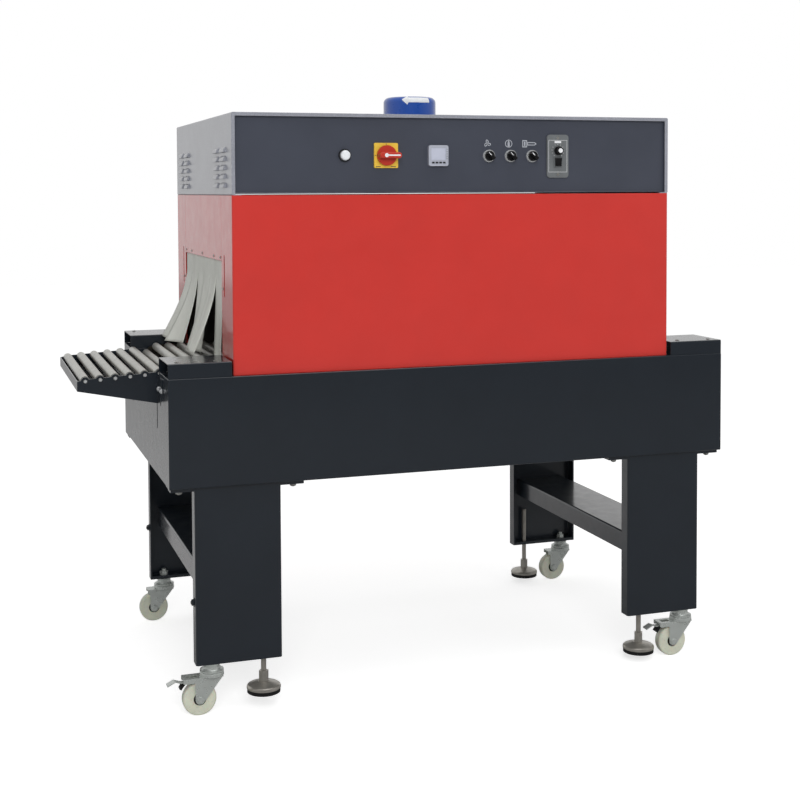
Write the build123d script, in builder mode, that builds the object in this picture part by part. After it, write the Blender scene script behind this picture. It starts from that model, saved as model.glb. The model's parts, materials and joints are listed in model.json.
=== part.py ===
# Heat shrink tunnel: a chain roller conveyor runs through a heated chamber
# that carries a control hood, on a legged bed with casters and levelling feet.
# Origin: on the floor, under the centre of the whole outline. X runs along the
# conveyor (the infeed tray is at -X), the operator stands at -Y, Z is up.
import os
from math import cos, pi, sin

from build123d import *

os.makedirs("parts", exist_ok=True)

# Sheet metal and general clearances
sheet = 2.0
sheet_bend = 2.5
joint_gap = 3.0
pin_clearance = 0.05

# Bed
bed_length = 1372.0
bed_depth = 762.0
bed_bottom = 512.0
bed_top = 755.0
lane_half = 245.0
bed_lip = 16.0
bed_foot_flange = 50.0

# Infeed tray, its rollers placed outwards from the bed end
tray_last_roller = 3.0
tray_half = 235.0
tray_root_drop = 5.0
tray_fall = 10.0
tray_roller_radius = 10.5
tray_roller_pitch = 33.0
tray_roller_count = 6
tray_first_roller = 18.0
tray_tip_depth = 22.0
tray_root_depth = 48.0
tray_tongue = 18.0
tray_tongue_gap = 6.0

# Chamber and hood
chamber_inset = 146.0
side_inset = 11.0
opening_top = 1003.0
hood_bottom = 1153.0
hood_top = 1336.0

# Legs
leg_inset = 154.0
leg_width = 195.0
leg_wall = 4.0
leg_flange = 34.0
leg_bottom = 114.0
foot_plate = 8.0
mount_plate_length = 300.0
mount_plate = 8.0

# Casters and levelling feet
caster_offset = 60.0
foot_offset = 58.0
wheel_radius = 37.5
wheel_width = 24.0
caster_trail = 29.0

# Places worked out from the sizes above
tray_reach = (tray_roller_count - 1) * tray_roller_pitch + tray_first_roller - tray_last_roller
mid_x = tray_reach / 2
bed_left = mid_x - bed_length / 2
bed_right = mid_x + bed_length / 2
chamber_length = bed_length - 2 * chamber_inset
chamber_depth = bed_depth - 2 * side_inset
leg_centre = bed_length / 2 - leg_inset
front = -chamber_depth / 2
hood_height = hood_top - hood_bottom
tray_root_axle = bed_top - tray_root_drop
tray_tip_axle = tray_root_axle - tray_fall
leg_top = bed_bottom - mount_plate
axle_row = chamber_depth / 2 - leg_wall - (leg_flange - leg_wall) / 2


def folded(points, thickness, bend):
    """Adds the section of a sheet whose middle line is folded along the points."""
    with BuildLine() as middle:
        FilletPolyline(*points, radius=bend)
    trace(middle.line, line_width=thickness)


# Bed side panels: channels whose wide top flange carries the chamber
for row, side in (("front", -1), ("back", 1)):
    web = side * (bed_depth - sheet) / 2
    lip = side * (lane_half + sheet / 2)
    top_middle = bed_top - sheet / 2
    foot_middle = bed_bottom + sheet / 2
    with BuildPart() as bed_side:
        with BuildSketch(Plane.YZ.offset(bed_left)):
            folded(
                (
                    (side * (bed_depth / 2 - bed_foot_flange), foot_middle),
                    (web, foot_middle),
                    (web, top_middle),
                    (lip, top_middle),
                    (lip, bed_top - bed_lip),
                ),
                sheet,
                sheet_bend,
            )
        extrude(amount=bed_length)
    bed_side.part.label = f"bed_{row}_side"
    export_step(bed_side.part, f"parts/bed_{row}_side.step")

# Bed end plates: notched between the rails, with slots for hanging a tray
notch_half = lane_half + sheet + sheet_bend - sheet / 2
notch_depth = 31.0
notch_floor = bed_top - notch_depth
slot_width = 10.0
slot_length = 79.0
slot_drop = 55.0
slot_top = bed_top - slot_drop
slot_bottom = slot_top - slot_length
slot_place = 215.0
short_slot_place = 268.0
end_lip = 14.0
with BuildPart() as bed_ends:
    for x, inward in ((bed_left, 1), (bed_right - sheet, -1)):
        with BuildSketch(Plane.YZ.offset(x)):
            with Locations((0, (bed_bottom + bed_top) / 2)):
                RectangleRounded(bed_depth - 2 * sheet, bed_top - bed_bottom - 2 * sheet, sheet_bend)
            with Locations((0, (notch_floor + bed_top) / 2)):
                Rectangle(2 * notch_half, bed_top - notch_floor, mode=Mode.SUBTRACT)
            for y in (-slot_place, slot_place):
                with Locations((y, (slot_bottom + slot_top) / 2)):
                    SlotOverall(slot_length, slot_width, rotation=90, mode=Mode.SUBTRACT)
            for y in (-short_slot_place, short_slot_place):
                with Locations((y, slot_top - slot_width)):
                    SlotOverall(2 * slot_width, slot_width, rotation=90, mode=Mode.SUBTRACT)
        extrude(amount=sheet)
        lip_x = x + sheet / 2 + inward * (end_lip + sheet) / 2
        with Locations((lip_x, 0, notch_floor - sheet / 2)):
            Box(end_lip, 2 * notch_half, sheet)
bed_ends.part.label = "bed_ends"
export_step(bed_ends.part, "parts/bed_ends.step")

# Rail covers: folded caps on the bed flanges beside the roller lane
rail_height = 33.0
rail_top = bed_top + rail_height
rail_outer = bed_depth / 2 - 1.0
rail_length = chamber_inset - 5.0
for end, x0 in (("left", bed_left), ("right", bed_right - rail_length)):
    with BuildPart() as rails:
        for side in (-1, 1):
            with BuildSketch(Plane.YZ.offset(x0)):
                folded(
                    (
                        (side * (rail_outer - sheet / 2), bed_top),
                        (side * (rail_outer - sheet / 2), rail_top - sheet / 2),
                        (side * (lane_half + sheet / 2), rail_top - sheet / 2),
                        (side * (lane_half + sheet / 2), bed_top),
                    ),
                    sheet,
                    sheet_bend,
                )
            extrude(amount=rail_length)
    rails.part.label = f"rail_covers_{end}"
    export_step(rails.part, f"parts/rail_covers_{end}.step")

# Conveyor: carrying rollers between two chains that run round end sprockets
roller_radius = 10.0
roller_top = 768.0
roller_pitch = 31.75
sprocket_radius = 28.2
chain_height = 12.0
chain_width = 7.0
chain_gap = 2.0
loop_end_room = 25.0
run_level = roller_top - roller_radius
sprocket_level = run_level - sprocket_radius
run_room = bed_length - 2 * (sprocket_radius + roller_radius + loop_end_room)
roller_total = int((2 * run_room + 2 * pi * sprocket_radius) / roller_pitch)
run_length = (roller_total * roller_pitch - 2 * pi * sprocket_radius) / 2
roller_half = lane_half - chain_gap - chain_width
with BuildPart() as chains:
    for side in (-1, 1):
        edge = side * (roller_half + chain_width / 2) + chain_width / 2
        with BuildSketch(Plane.XZ.offset(-edge)):
            with Locations((mid_x, sprocket_level)):
                SlotCenterToCenter(run_length, 2 * sprocket_radius + chain_height)
                SlotCenterToCenter(run_length, 2 * sprocket_radius - chain_height, mode=Mode.SUBTRACT)
        extrude(amount=chain_width)
chains.part.label = "conveyor_chains"
export_step(chains.part, "parts/conveyor_chains.step")

carried = []
for k in range(roller_total):
    along = k * roller_pitch
    if along <= run_length:
        carried.append((mid_x - run_length / 2 + along, run_level))
    elif along <= run_length + pi * sprocket_radius:
        turn = (along - run_length) / sprocket_radius
        carried.append(
            (
                mid_x + run_length / 2 + sprocket_radius * sin(turn),
                sprocket_level + sprocket_radius * cos(turn),
            )
        )
    elif along > 2 * run_length + pi * sprocket_radius:
        turn = (along - 2 * run_length) / sprocket_radius
        carried.append(
            (
                mid_x - run_length / 2 + sprocket_radius * sin(turn),
                sprocket_level + sprocket_radius * cos(turn),
            )
        )
with BuildPart() as rollers:
    with BuildSketch(Plane.XZ.offset(-roller_half)):
        with Locations(*carried):
            Circle(roller_radius)
    extrude(amount=2 * roller_half)
rollers.part.label = "conveyor_rollers"
export_step(rollers.part, "parts/conveyor_rollers.step")

# Sprocket shafts with a sprocket inside each chain
shaft_radius = 10.0
sprocket_width = 5.0
with BuildPart() as shafts:
    for x in (mid_x - run_length / 2, mid_x + run_length / 2):
        with BuildSketch(Plane.XZ.offset(-(lane_half - chain_gap))):
            with Locations((x, sprocket_level)):
                Circle(shaft_radius)
        extrude(amount=2 * (lane_half - chain_gap))
        for side in (-1, 1):
            edge = side * (roller_half + chain_width / 2) + sprocket_width / 2
            with BuildSketch(Plane.XZ.offset(-edge)):
                with Locations((x, sprocket_level)):
                    Circle(sprocket_radius - chain_height / 2)
            extrude(amount=sprocket_width)
shafts.part.label = "conveyor_shafts"
export_step(shafts.part, "parts/conveyor_shafts.step")

# Chamber walls: each folds round both ends as a flange with a slot
vent_slot_place = 276.0
vent_slot_width = 9.0
vent_slot_bottom = opening_top - 81.0
vent_slot_top = opening_top + 15.0
wall_foot = 25.0
for row, side in (("front", -1), ("back", 1)):
    outer = side * chamber_depth / 2
    with BuildPart() as wall:
        end_half = (chamber_length - sheet) / 2
        with BuildSketch(Plane.XY.offset(bed_top)):
            folded(
                (
                    (mid_x - end_half, side * lane_half),
                    (mid_x - end_half, outer - side * sheet / 2),
                    (mid_x + end_half, outer - side * sheet / 2),
                    (mid_x + end_half, side * lane_half),
                ),
                sheet,
                sheet_bend,
            )
        extrude(amount=hood_bottom - bed_top)
        with Locations((mid_x, outer - side * (wall_foot / 2 + sheet), bed_top + sheet / 2)):
            Box(chamber_length - 2 * sheet, wall_foot, sheet)
        for x in (mid_x - chamber_length / 2, mid_x + chamber_length / 2 - sheet):
            with BuildSketch(Plane.YZ.offset(x)):
                with Locations((side * vent_slot_place, (vent_slot_bottom + vent_slot_top) / 2)):
                    SlotOverall(vent_slot_top - vent_slot_bottom, vent_slot_width, rotation=90)
            extrude(amount=sheet, mode=Mode.SUBTRACT)
    wall.part.label = f"chamber_{row}_wall"
    export_step(wall.part, f"parts/chamber_{row}_wall.step")

# Header plates above the two openings, with a flange along the top
header_hem = 12.0
header_reveal = 1.0
header_width = 2 * (lane_half - header_reveal)
with BuildPart() as headers:
    for x, outward in ((mid_x - chamber_length / 2, -1), (mid_x + chamber_length / 2 - sheet, 1)):
        with Locations((x + sheet / 2, 0, (opening_top + hood_bottom) / 2)):
            Box(sheet, header_width, hood_bottom - opening_top)
        with Locations((x + sheet / 2 - outward * (header_hem + sheet) / 2, 0, hood_bottom - sheet / 2)):
            Box(header_hem, header_width, sheet)
headers.part.label = "tunnel_headers"
export_step(headers.part, "parts/tunnel_headers.step")

# Tunnel liner: inner walls and ceiling that the goods pass between
liner_gap = 2.0
liner_half = lane_half + liner_gap
liner_top = opening_top + 9.0
liner_length = chamber_length - 2 * sheet - 12.0
with BuildPart() as liner:
    with BuildSketch(Plane.YZ.offset(mid_x - liner_length / 2)):
        with BuildLine():
            Polyline(
                (-liner_half - sheet, bed_top),
                (-liner_half - sheet, liner_top + sheet),
                (liner_half + sheet, liner_top + sheet),
                (liner_half + sheet, bed_top),
                (liner_half, bed_top),
                (liner_half, liner_top),
                (-liner_half, liner_top),
                (-liner_half, bed_top),
                close=True,
            )
        make_face()
    extrude(amount=liner_length)
liner.part.label = "tunnel_liner"
export_step(liner.part, "parts/tunnel_liner.step")

# Strip curtains: slit sheets whose strips are pushed outwards at the bottom
curtain_thickness = 2.0
curtain_top = opening_top + 5.0
curtain_bottom = roller_top + 12.0
curtain_band = 24.0
curtain_swings = (62.0, 30.0, 74.0, 46.0, 66.0, 12.0)
curtain_slit = 3.0
curtain_half = lane_half - 4.0
strip_width = (2 * curtain_half - curtain_slit * (len(curtain_swings) - 1)) / len(curtain_swings)
for end, outward in (("left", -1), ("right", 1)):
    inner = mid_x + outward * (chamber_length / 2 - sheet - curtain_thickness)
    outer = inner + outward * curtain_thickness
    with BuildPart() as curtain:
        with Locations(((inner + outer) / 2, 0, curtain_top - curtain_band / 2)):
            Box(curtain_thickness, 2 * curtain_half, curtain_band)
        for k, swing in enumerate(curtain_swings):
            far_edge = curtain_half - k * (strip_width + curtain_slit)
            with BuildSketch(Plane.XZ.offset(-far_edge)):
                with BuildLine():
                    Polyline(
                        (inner, curtain_top - curtain_band),
                        (outer, curtain_top - curtain_band),
                        (outer + outward * swing, curtain_bottom),
                        (inner + outward * swing, curtain_bottom),
                        close=True,
                    )
                make_face()
            extrude(amount=strip_width)
    curtain.part.label = f"curtain_{end}"
    export_step(curtain.part, f"parts/curtain_{end}.step")

# Pressed louvre, pointing to +X from a wall at the origin: a curved hood with
# round ends and a mouth below that goes through the wall
louvre_length = 60.0
louvre_height = 12.0
louvre_depth = 7.0
louvre_mouth = 5.0
louvre_pitch = 20.0
louvre_rows = 5
louvre_lowest = hood_bottom + 23.0
louvre_columns = (-283.0, -201.5, 201.5, 283.0)
louvre_straight = louvre_length / 2 - louvre_depth
with BuildPart(mode=Mode.PRIVATE) as louvre:
    with BuildSketch(Plane.XZ.offset(-louvre_straight)) as louvre_section:
        with BuildLine():
            Line((0, louvre_height / 2), (0, -louvre_height / 2))
            Line((0, -louvre_height / 2), (louvre_depth, -louvre_height / 2))
            ThreePointArc(
                (louvre_depth, -louvre_height / 2),
                (louvre_depth * 0.8, 0),
                (0, louvre_height / 2),
            )
        make_face()
    extrude(amount=2 * louvre_straight)
    for way in (-1, 1):
        with BuildSketch(Plane.XZ.offset(-way * louvre_straight)):
            add(louvre_section.sketch_local)
        revolve(axis=Axis((0, way * louvre_straight, 0), (0, 0, way)), revolution_arc=90)

# Hood shell: folded top and louvred ends, with a return round both faces
hood_ledge = 20.0
rim_width = 8.0
rim_bend = sheet_bend + sheet / 2
with BuildPart() as hood:
    wall_half = (chamber_length - sheet) / 2
    ledge_half = chamber_length / 2 - sheet - hood_ledge
    with BuildSketch(Plane.XZ.offset(-chamber_depth / 2)):
        folded(
            (
                (mid_x - ledge_half, hood_bottom + sheet / 2),
                (mid_x - wall_half, hood_bottom + sheet / 2),
                (mid_x - wall_half, hood_top - sheet / 2),
                (mid_x + wall_half, hood_top - sheet / 2),
                (mid_x + wall_half, hood_bottom + sheet / 2),
                (mid_x + ledge_half, hood_bottom + sheet / 2),
            ),
            sheet,
            sheet_bend,
        )
    extrude(amount=chamber_depth)
    for back in (chamber_depth / 2, sheet - chamber_depth / 2):
        with BuildSketch(Plane.XZ.offset(-back)):
            with Locations((mid_x, hood_bottom + hood_height / 2)):
                RectangleRounded(chamber_length, hood_height, rim_bend)
            with Locations((mid_x, hood_bottom + (hood_height - rim_width) / 2)):
                Rectangle(chamber_length - 2 * rim_width, hood_height - rim_width, mode=Mode.SUBTRACT)
        extrude(amount=sheet)
    for wall_turn, outward in ((180, -1), (0, 1)):
        wall_x = mid_x + outward * chamber_length / 2
        places = []
        for y in louvre_columns:
            for k in range(louvre_rows):
                places.append((wall_x, y, louvre_lowest + k * louvre_pitch))
        with Locations(*[Location(place, (0, 0, wall_turn)) for place in places]):
            add(louvre.part)
        mouth_deep = sheet + louvre_depth - louvre_mouth / 2
        mouth_x = outward * (mouth_deep / 2 - sheet)
        mouth_z = (louvre_mouth - louvre_height) / 2
        with Locations(*[(x + mouth_x, y, z + mouth_z) for x, y, z in places]):
            Box(mouth_deep, 2 * louvre_straight, louvre_mouth, mode=Mode.SUBTRACT)
hood.part.label = "hood_shell"
export_step(hood.part, "parts/hood_shell.step")

# Control panel and back panel: folded plates set back behind the hood's return
pan_recess = 8.0
pan_lip = pan_recess - sheet - 1.0
pan_flange = 14.0
pan_length = chamber_length - 2 * sheet - 2 * joint_gap
for name, side in (("control_panel", -1), ("hood_back_panel", 1)):
    face = chamber_depth / 2 - pan_recess
    low = hood_bottom + joint_gap + sheet / 2
    high = hood_top - sheet - joint_gap - sheet / 2
    with BuildPart() as pan:
        with BuildSketch(Plane.YZ.offset(mid_x - pan_length / 2)):
            folded(
                (
                    (side * (face + pan_lip), low),
                    (side * (face - sheet / 2), low),
                    (side * (face - sheet / 2), high),
                    (side * (face - pan_flange), high),
                ),
                sheet,
                sheet_bend,
            )
        extrude(amount=pan_length)
    pan.part.label = name
    export_step(pan.part, f"parts/{name}.step")
panel_face = front + pan_recess

# Fan motor cowl on the hood: a rounded drum on a thin base flange
cowl_radius = 67.0
cowl_height = 64.0
cowl_round = 14.0
cowl_flange_radius = 78.0
cowl_flange = 3.0
with BuildPart() as cowl:
    with BuildSketch(Plane.XY.offset(hood_top)):
        with Locations((mid_x, 0)):
            Circle(cowl_flange_radius)
    extrude(amount=cowl_flange)
    with BuildSketch(Plane.XY.offset(hood_top + cowl_flange)):
        with Locations((mid_x, 0)):
            Circle(cowl_radius)
    extrude(amount=cowl_height - cowl_flange)
    fillet(cowl.faces().sort_by(Axis.Z)[-1].edges(), cowl_round)
cowl.part.label = "fan_motor_cowl"
export_step(cowl.part, "parts/fan_motor_cowl.step")

# Controls, all centred on one level of the panel
control_rise = 89.0
control_level = hood_bottom + control_rise
lamp_place = -280.0
switch_place = -182.0
thermostat_place = -56.0
selector_places = (71.0, 126.0, 181.0)
drive_place = 247.0
lamp_x = mid_x + lamp_place
switch_x = mid_x + switch_place
thermostat_x = mid_x + thermostat_place
drive_x = mid_x + drive_place
knob_gap = 1.0

lamp_bezel_radius = 14.5
lamp_lens_radius = 11.5
with BuildPart() as lamp:
    with BuildSketch(Plane.XZ.offset(-panel_face)):
        with Locations((lamp_x, control_level)):
            Circle(lamp_bezel_radius)
    extrude(amount=5)
    with BuildSketch(Plane.XZ.offset(-panel_face + 5)):
        with Locations((lamp_x, control_level)):
            Circle(lamp_lens_radius)
    extrude(amount=9)
    fillet(lamp.faces().sort_by(Axis.Y)[0].edges(), 5)
lamp.part.label = "pilot_lamp"
export_step(lamp.part, "parts/pilot_lamp.step")

switch_width = 57.0
switch_thickness = 4.0
with BuildPart() as switch_plate:
    with BuildSketch(Plane.XZ.offset(-panel_face)):
        with Locations((switch_x, control_level)):
            RectangleRounded(switch_width, switch_width, 3)
    extrude(amount=switch_thickness)
switch_plate.part.label = "main_switch_plate"
export_step(switch_plate.part, "parts/main_switch_plate.step")

# Main switch handle: disc with a grip bar that ends in a nose past the rim
handle_radius = 23.0
handle_disc = 8.0
handle_bar = 14.0
handle_nose = 30.0
handle_grip = 18.0
handle_face = -panel_face + switch_thickness + knob_gap
with BuildPart() as handle:
    with BuildSketch(Plane.XZ.offset(handle_face)):
        with Locations((switch_x, control_level)):
            Circle(handle_radius)
    extrude(amount=handle_disc)
    with BuildSketch(Plane.XZ.offset(handle_face)):
        with Locations((switch_x + (handle_nose - handle_radius) / 2, control_level)):
            SlotOverall(handle_nose + handle_radius, handle_bar)
    extrude(amount=handle_disc + handle_grip)
    fillet(handle.faces().sort_by(Axis.Y)[0].edges(), 3)
handle.part.label = "main_switch_handle"
export_step(handle.part, "parts/main_switch_handle.step")

# Temperature controller: square bezel with a recessed screen
thermostat_width = 48.0
thermostat_height = 48.0
thermostat_proud = 8.0
screen_width = 36.0
screen_height = 28.0
with BuildPart() as thermostat:
    with BuildSketch(Plane.XZ.offset(-panel_face)):
        with Locations((thermostat_x, control_level)):
            RectangleRounded(thermostat_width, thermostat_height, 5)
    extrude(amount=thermostat_proud)
    with BuildSketch(Plane.XZ.offset(-panel_face + thermostat_proud)):
        with Locations((thermostat_x, control_level + 4)):
            Rectangle(screen_width, screen_height)
    extrude(amount=-1.5, mode=Mode.SUBTRACT)
thermostat.part.label = "temperature_controller"
export_step(thermostat.part, "parts/temperature_controller.step")

# Selector switches: three bezels and three turning knobs with a grip bar
bezel_radius = 14.5
bezel_height = 4.0
knob_radius = 11.5
knob_base = 6.0
grip_width = 8.0
grip_height = 12.0
grip_angle = 135.0
with BuildPart() as bezels:
    for place in selector_places:
        with BuildSketch(Plane.XZ.offset(-panel_face)):
            with Locations((mid_x + place, control_level)):
                Circle(bezel_radius)
        extrude(amount=bezel_height)
        with BuildSketch(Plane.XZ.offset(-panel_face + bezel_height)):
            with Locations((mid_x + place, control_level)):
                Circle(bezel_radius - 1)
                Circle(knob_radius + knob_gap, mode=Mode.SUBTRACT)
        extrude(amount=2)
bezels.part.label = "selector_bezels"
export_step(bezels.part, "parts/selector_bezels.step")

for k, place in enumerate(selector_places):
    knob_plane = Plane.XZ.offset(-panel_face + bezel_height + knob_gap)
    with BuildPart() as knob:
        with BuildSketch(knob_plane):
            with Locations((mid_x + place, control_level)):
                Circle(knob_radius)
        extrude(amount=knob_base)
        with BuildSketch(knob_plane):
            with Locations(Location((mid_x + place, control_level), grip_angle)):
                Rectangle(2 * knob_radius - 2, grip_width)
        extrude(amount=knob_base + grip_height)
        fillet(knob.faces().sort_by(Axis.Y)[0].edges(), 1.5)
    knob.part.label = f"selector_knob_{k + 1}"
    export_step(knob.part, f"parts/selector_knob_{k + 1}.step")

# Belt speed controller: plate with rounded ends, knob and rocker
drive_width = 56.0
drive_height = 102.0
drive_plate = 4.0
speed_knob_level = control_level + 13.0
rocker_level = control_level - 14.0
speed_knob_radius = 10.0
rocker_width = 15.0
rocker_height = 20.0
rocker_gap = 0.8
with BuildPart() as drive:
    with BuildSketch(Plane.XZ.offset(-panel_face)):
        with Locations((drive_x, control_level)):
            RectangleRounded(drive_width, drive_height, 8)
    extrude(amount=drive_plate)
    with BuildSketch(Plane.XZ.offset(-panel_face + drive_plate)):
        with Locations((drive_x, rocker_level)):
            Rectangle(rocker_width + 5, rocker_height + 5)
            Rectangle(rocker_width + 2 * rocker_gap, rocker_height + 2 * rocker_gap, mode=Mode.SUBTRACT)
    extrude(amount=3)
drive.part.label = "speed_controller_plate"
export_step(drive.part, "parts/speed_controller_plate.step")

with BuildPart() as speed_knob:
    with BuildSketch(Plane.XZ.offset(-panel_face + drive_plate + knob_gap)):
        with Locations((drive_x, speed_knob_level)):
            Circle(speed_knob_radius)
    extrude(amount=5)
    with BuildSketch(Plane.XZ.offset(-panel_face + drive_plate + knob_gap + 5)):
        with Locations((drive_x, speed_knob_level)):
            Circle(speed_knob_radius - 2)
            with Locations((0, speed_knob_radius - 2)):
                Rectangle(2, 3, mode=Mode.SUBTRACT)
    extrude(amount=10)
speed_knob.part.label = "speed_knob"
export_step(speed_knob.part, "parts/speed_knob.step")

# Rocker: two faces that meet at its middle, stored with the lower one pressed
rocker_rise = 3.5
rocker_tip = 3.2
rocker_pressed = 0.4
rocker_back = panel_face - drive_plate - 2.2
with BuildPart() as rocker:
    with BuildSketch(Plane.YZ.offset(drive_x - rocker_width / 2)):
        with BuildLine():
            Polyline(
                (rocker_back, rocker_level - rocker_height / 2 + 1),
                (rocker_back, rocker_level + rocker_height / 2 - 1),
                (rocker_back - rocker_rise - rocker_tip, rocker_level + rocker_height / 2 - 1),
                (rocker_back - rocker_rise, rocker_level),
                (rocker_back - rocker_rise - rocker_pressed, rocker_level - rocker_height / 2 + 1),
                close=True,
            )
        make_face()
    extrude(amount=rocker_width)
rocker.part.label = "rocker_switch"
export_step(rocker.part, "parts/rocker_switch.step")

# Legs: channels with their web outwards, a foot plate and a bolted mount plate
stud_radius = 6.0
leg_bend = 4.0
for row, side in (("front", -1), ("back", 1)):
    for end, way in (("left", -1), ("right", 1)):
        leg_x = mid_x + way * leg_centre
        leg_y = side * (chamber_depth / 2 - leg_flange / 2)
        inner_y = side * (chamber_depth / 2 - leg_wall - (leg_flange - leg_wall) / 2)
        web_y = side * (chamber_depth - leg_wall) / 2
        flange_y = side * (chamber_depth / 2 - leg_flange)
        flange_half = (leg_width - leg_wall) / 2
        with BuildPart() as leg:
            with BuildSketch(Plane.XY.offset(leg_bottom)):
                folded(
                    (
                        (leg_x - flange_half, flange_y),
                        (leg_x - flange_half, web_y),
                        (leg_x + flange_half, web_y),
                        (leg_x + flange_half, flange_y),
                    ),
                    leg_wall,
                    leg_bend,
                )
            extrude(amount=leg_top - leg_bottom)
            with BuildSketch(Plane.XY.offset(leg_bottom)):
                with Locations((leg_x, inner_y)):
                    Rectangle(leg_width - 2 * leg_wall, leg_flange - leg_wall)
                with Locations((leg_x + way * caster_offset, side * axle_row)):
                    Circle(stud_radius + pin_clearance, mode=Mode.SUBTRACT)
                with Locations((leg_x - way * foot_offset, side * axle_row)):
                    Circle(stud_radius + pin_clearance, mode=Mode.SUBTRACT)
            extrude(amount=foot_plate)
            with BuildSketch(Plane.XY.offset(leg_top)):
                with Locations((leg_x, leg_y)):
                    Rectangle(mount_plate_length, leg_flange)
            extrude(amount=mount_plate)
        leg.part.label = f"leg_{row}_{end}"
        export_step(leg.part, f"parts/leg_{row}_{end}.step")

# Braces: upside-down channels between the front and the back legs
brace_width = 145.0
brace_height = 48.0
brace_top = 305.0
brace_wall = 3.0
brace_span = chamber_depth - 2 * leg_wall
brace_half = (brace_width - brace_wall) / 2
with BuildPart() as braces:
    for way in (-1, 1):
        brace_x = mid_x + way * leg_centre
        with BuildSketch(Plane.XZ.offset(-brace_span / 2)):
            folded(
                (
                    (brace_x - brace_half, brace_top - brace_height),
                    (brace_x - brace_half, brace_top - brace_wall / 2),
                    (brace_x + brace_half, brace_top - brace_wall / 2),
                    (brace_x + brace_half, brace_top - brace_height),
                ),
                brace_wall,
                leg_bend,
            )
        extrude(amount=brace_span)
braces.part.label = "leg_braces"
export_step(braces.part, "parts/leg_braces.step")

# Caster stems: fixed studs with a nut above the foot plate and a flared race below
race_radius = 26.5
race_rim = 3.0
race_height = 18.0
neck_radius = 20.0
neck_waist = 18.0
stem_tail = 16.0
nut_radius = 11.0
nut_height = 10.0
kingpin_radius = 7.0
kingpin_drop = 8.0
with BuildPart() as stems:
    for side in (-1, 1):
        for way in (-1, 1):
            spot = (mid_x + way * (leg_centre + caster_offset), side * axle_row)
            with BuildSketch(Plane.XY.offset(leg_bottom)):
                with Locations(spot):
                    Circle(stud_radius)
            extrude(amount=foot_plate + stem_tail)
            with BuildSketch(Plane.XY.offset(leg_bottom + foot_plate)):
                with Locations(spot):
                    RegularPolygon(nut_radius, 6)
            extrude(amount=nut_height)
            neck_x, neck_y = spot
            race_bottom = leg_bottom - race_height
            with BuildSketch(Plane.XZ.offset(-neck_y)):
                with BuildLine():
                    ThreePointArc(
                        (neck_x + neck_radius, leg_bottom),
                        (neck_x + neck_waist, leg_bottom - race_height / 2),
                        (neck_x + race_radius, race_bottom + race_rim),
                    )
                    Polyline(
                        (neck_x + race_radius, race_bottom + race_rim),
                        (neck_x + race_radius, race_bottom),
                        (neck_x, race_bottom),
                        (neck_x, leg_bottom),
                        (neck_x + neck_radius, leg_bottom),
                    )
                make_face()
            revolve(axis=Axis((neck_x, neck_y, 0), (0, 0, 1)))
            with BuildSketch(Plane.XY.offset(leg_bottom - race_height - kingpin_drop)):
                with Locations(spot):
                    Circle(kingpin_radius)
            extrude(amount=kingpin_drop)
stems.part.label = "caster_stems"
export_step(stems.part, "parts/caster_stems.step")

# Caster forks: a pressed yoke under a round shoulder. Its plate runs out over the
# wheel as a shelf with skirts, and each arm narrows from the shoulder to the axle.
shoulder_radius = 27.0
shoulder_height = 9.0
shoulder_round = 4.0
cup_gap = 0.5
fork_top = leg_bottom - race_height - cup_gap
yoke_top = fork_top - shoulder_height
fork_wall = 2.5
fork_half = wheel_width / 2 + 2.5
skirt_depth = 11.0
yoke_back = 23.0
arm_foot_radius = 10.5
arm_round = 3.0
axle_radius = 5.0
axle_head_radius = 8.0
axle_head = 5.0
axle_head_round = 3.5
heading = 180.0
shelf_reach = {"front": 66.0, "back": 46.0}
window_start = 34.0
window_end = 57.0
window_half = 8.0
with BuildPart(mode=Mode.PRIVATE) as axle:
    Cylinder(axle_radius, 2 * fork_half)
    for flank in (-1, 1):
        with Locations((0, 0, flank * (fork_half + (fork_wall + axle_head) / 2))):
            Cylinder(axle_head_radius, fork_wall + axle_head)
    head_edges = axle.edges().filter_by(GeomType.CIRCLE).group_by(Axis.Z)
    fillet(head_edges[0] + head_edges[-1], axle_head_round)
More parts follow.
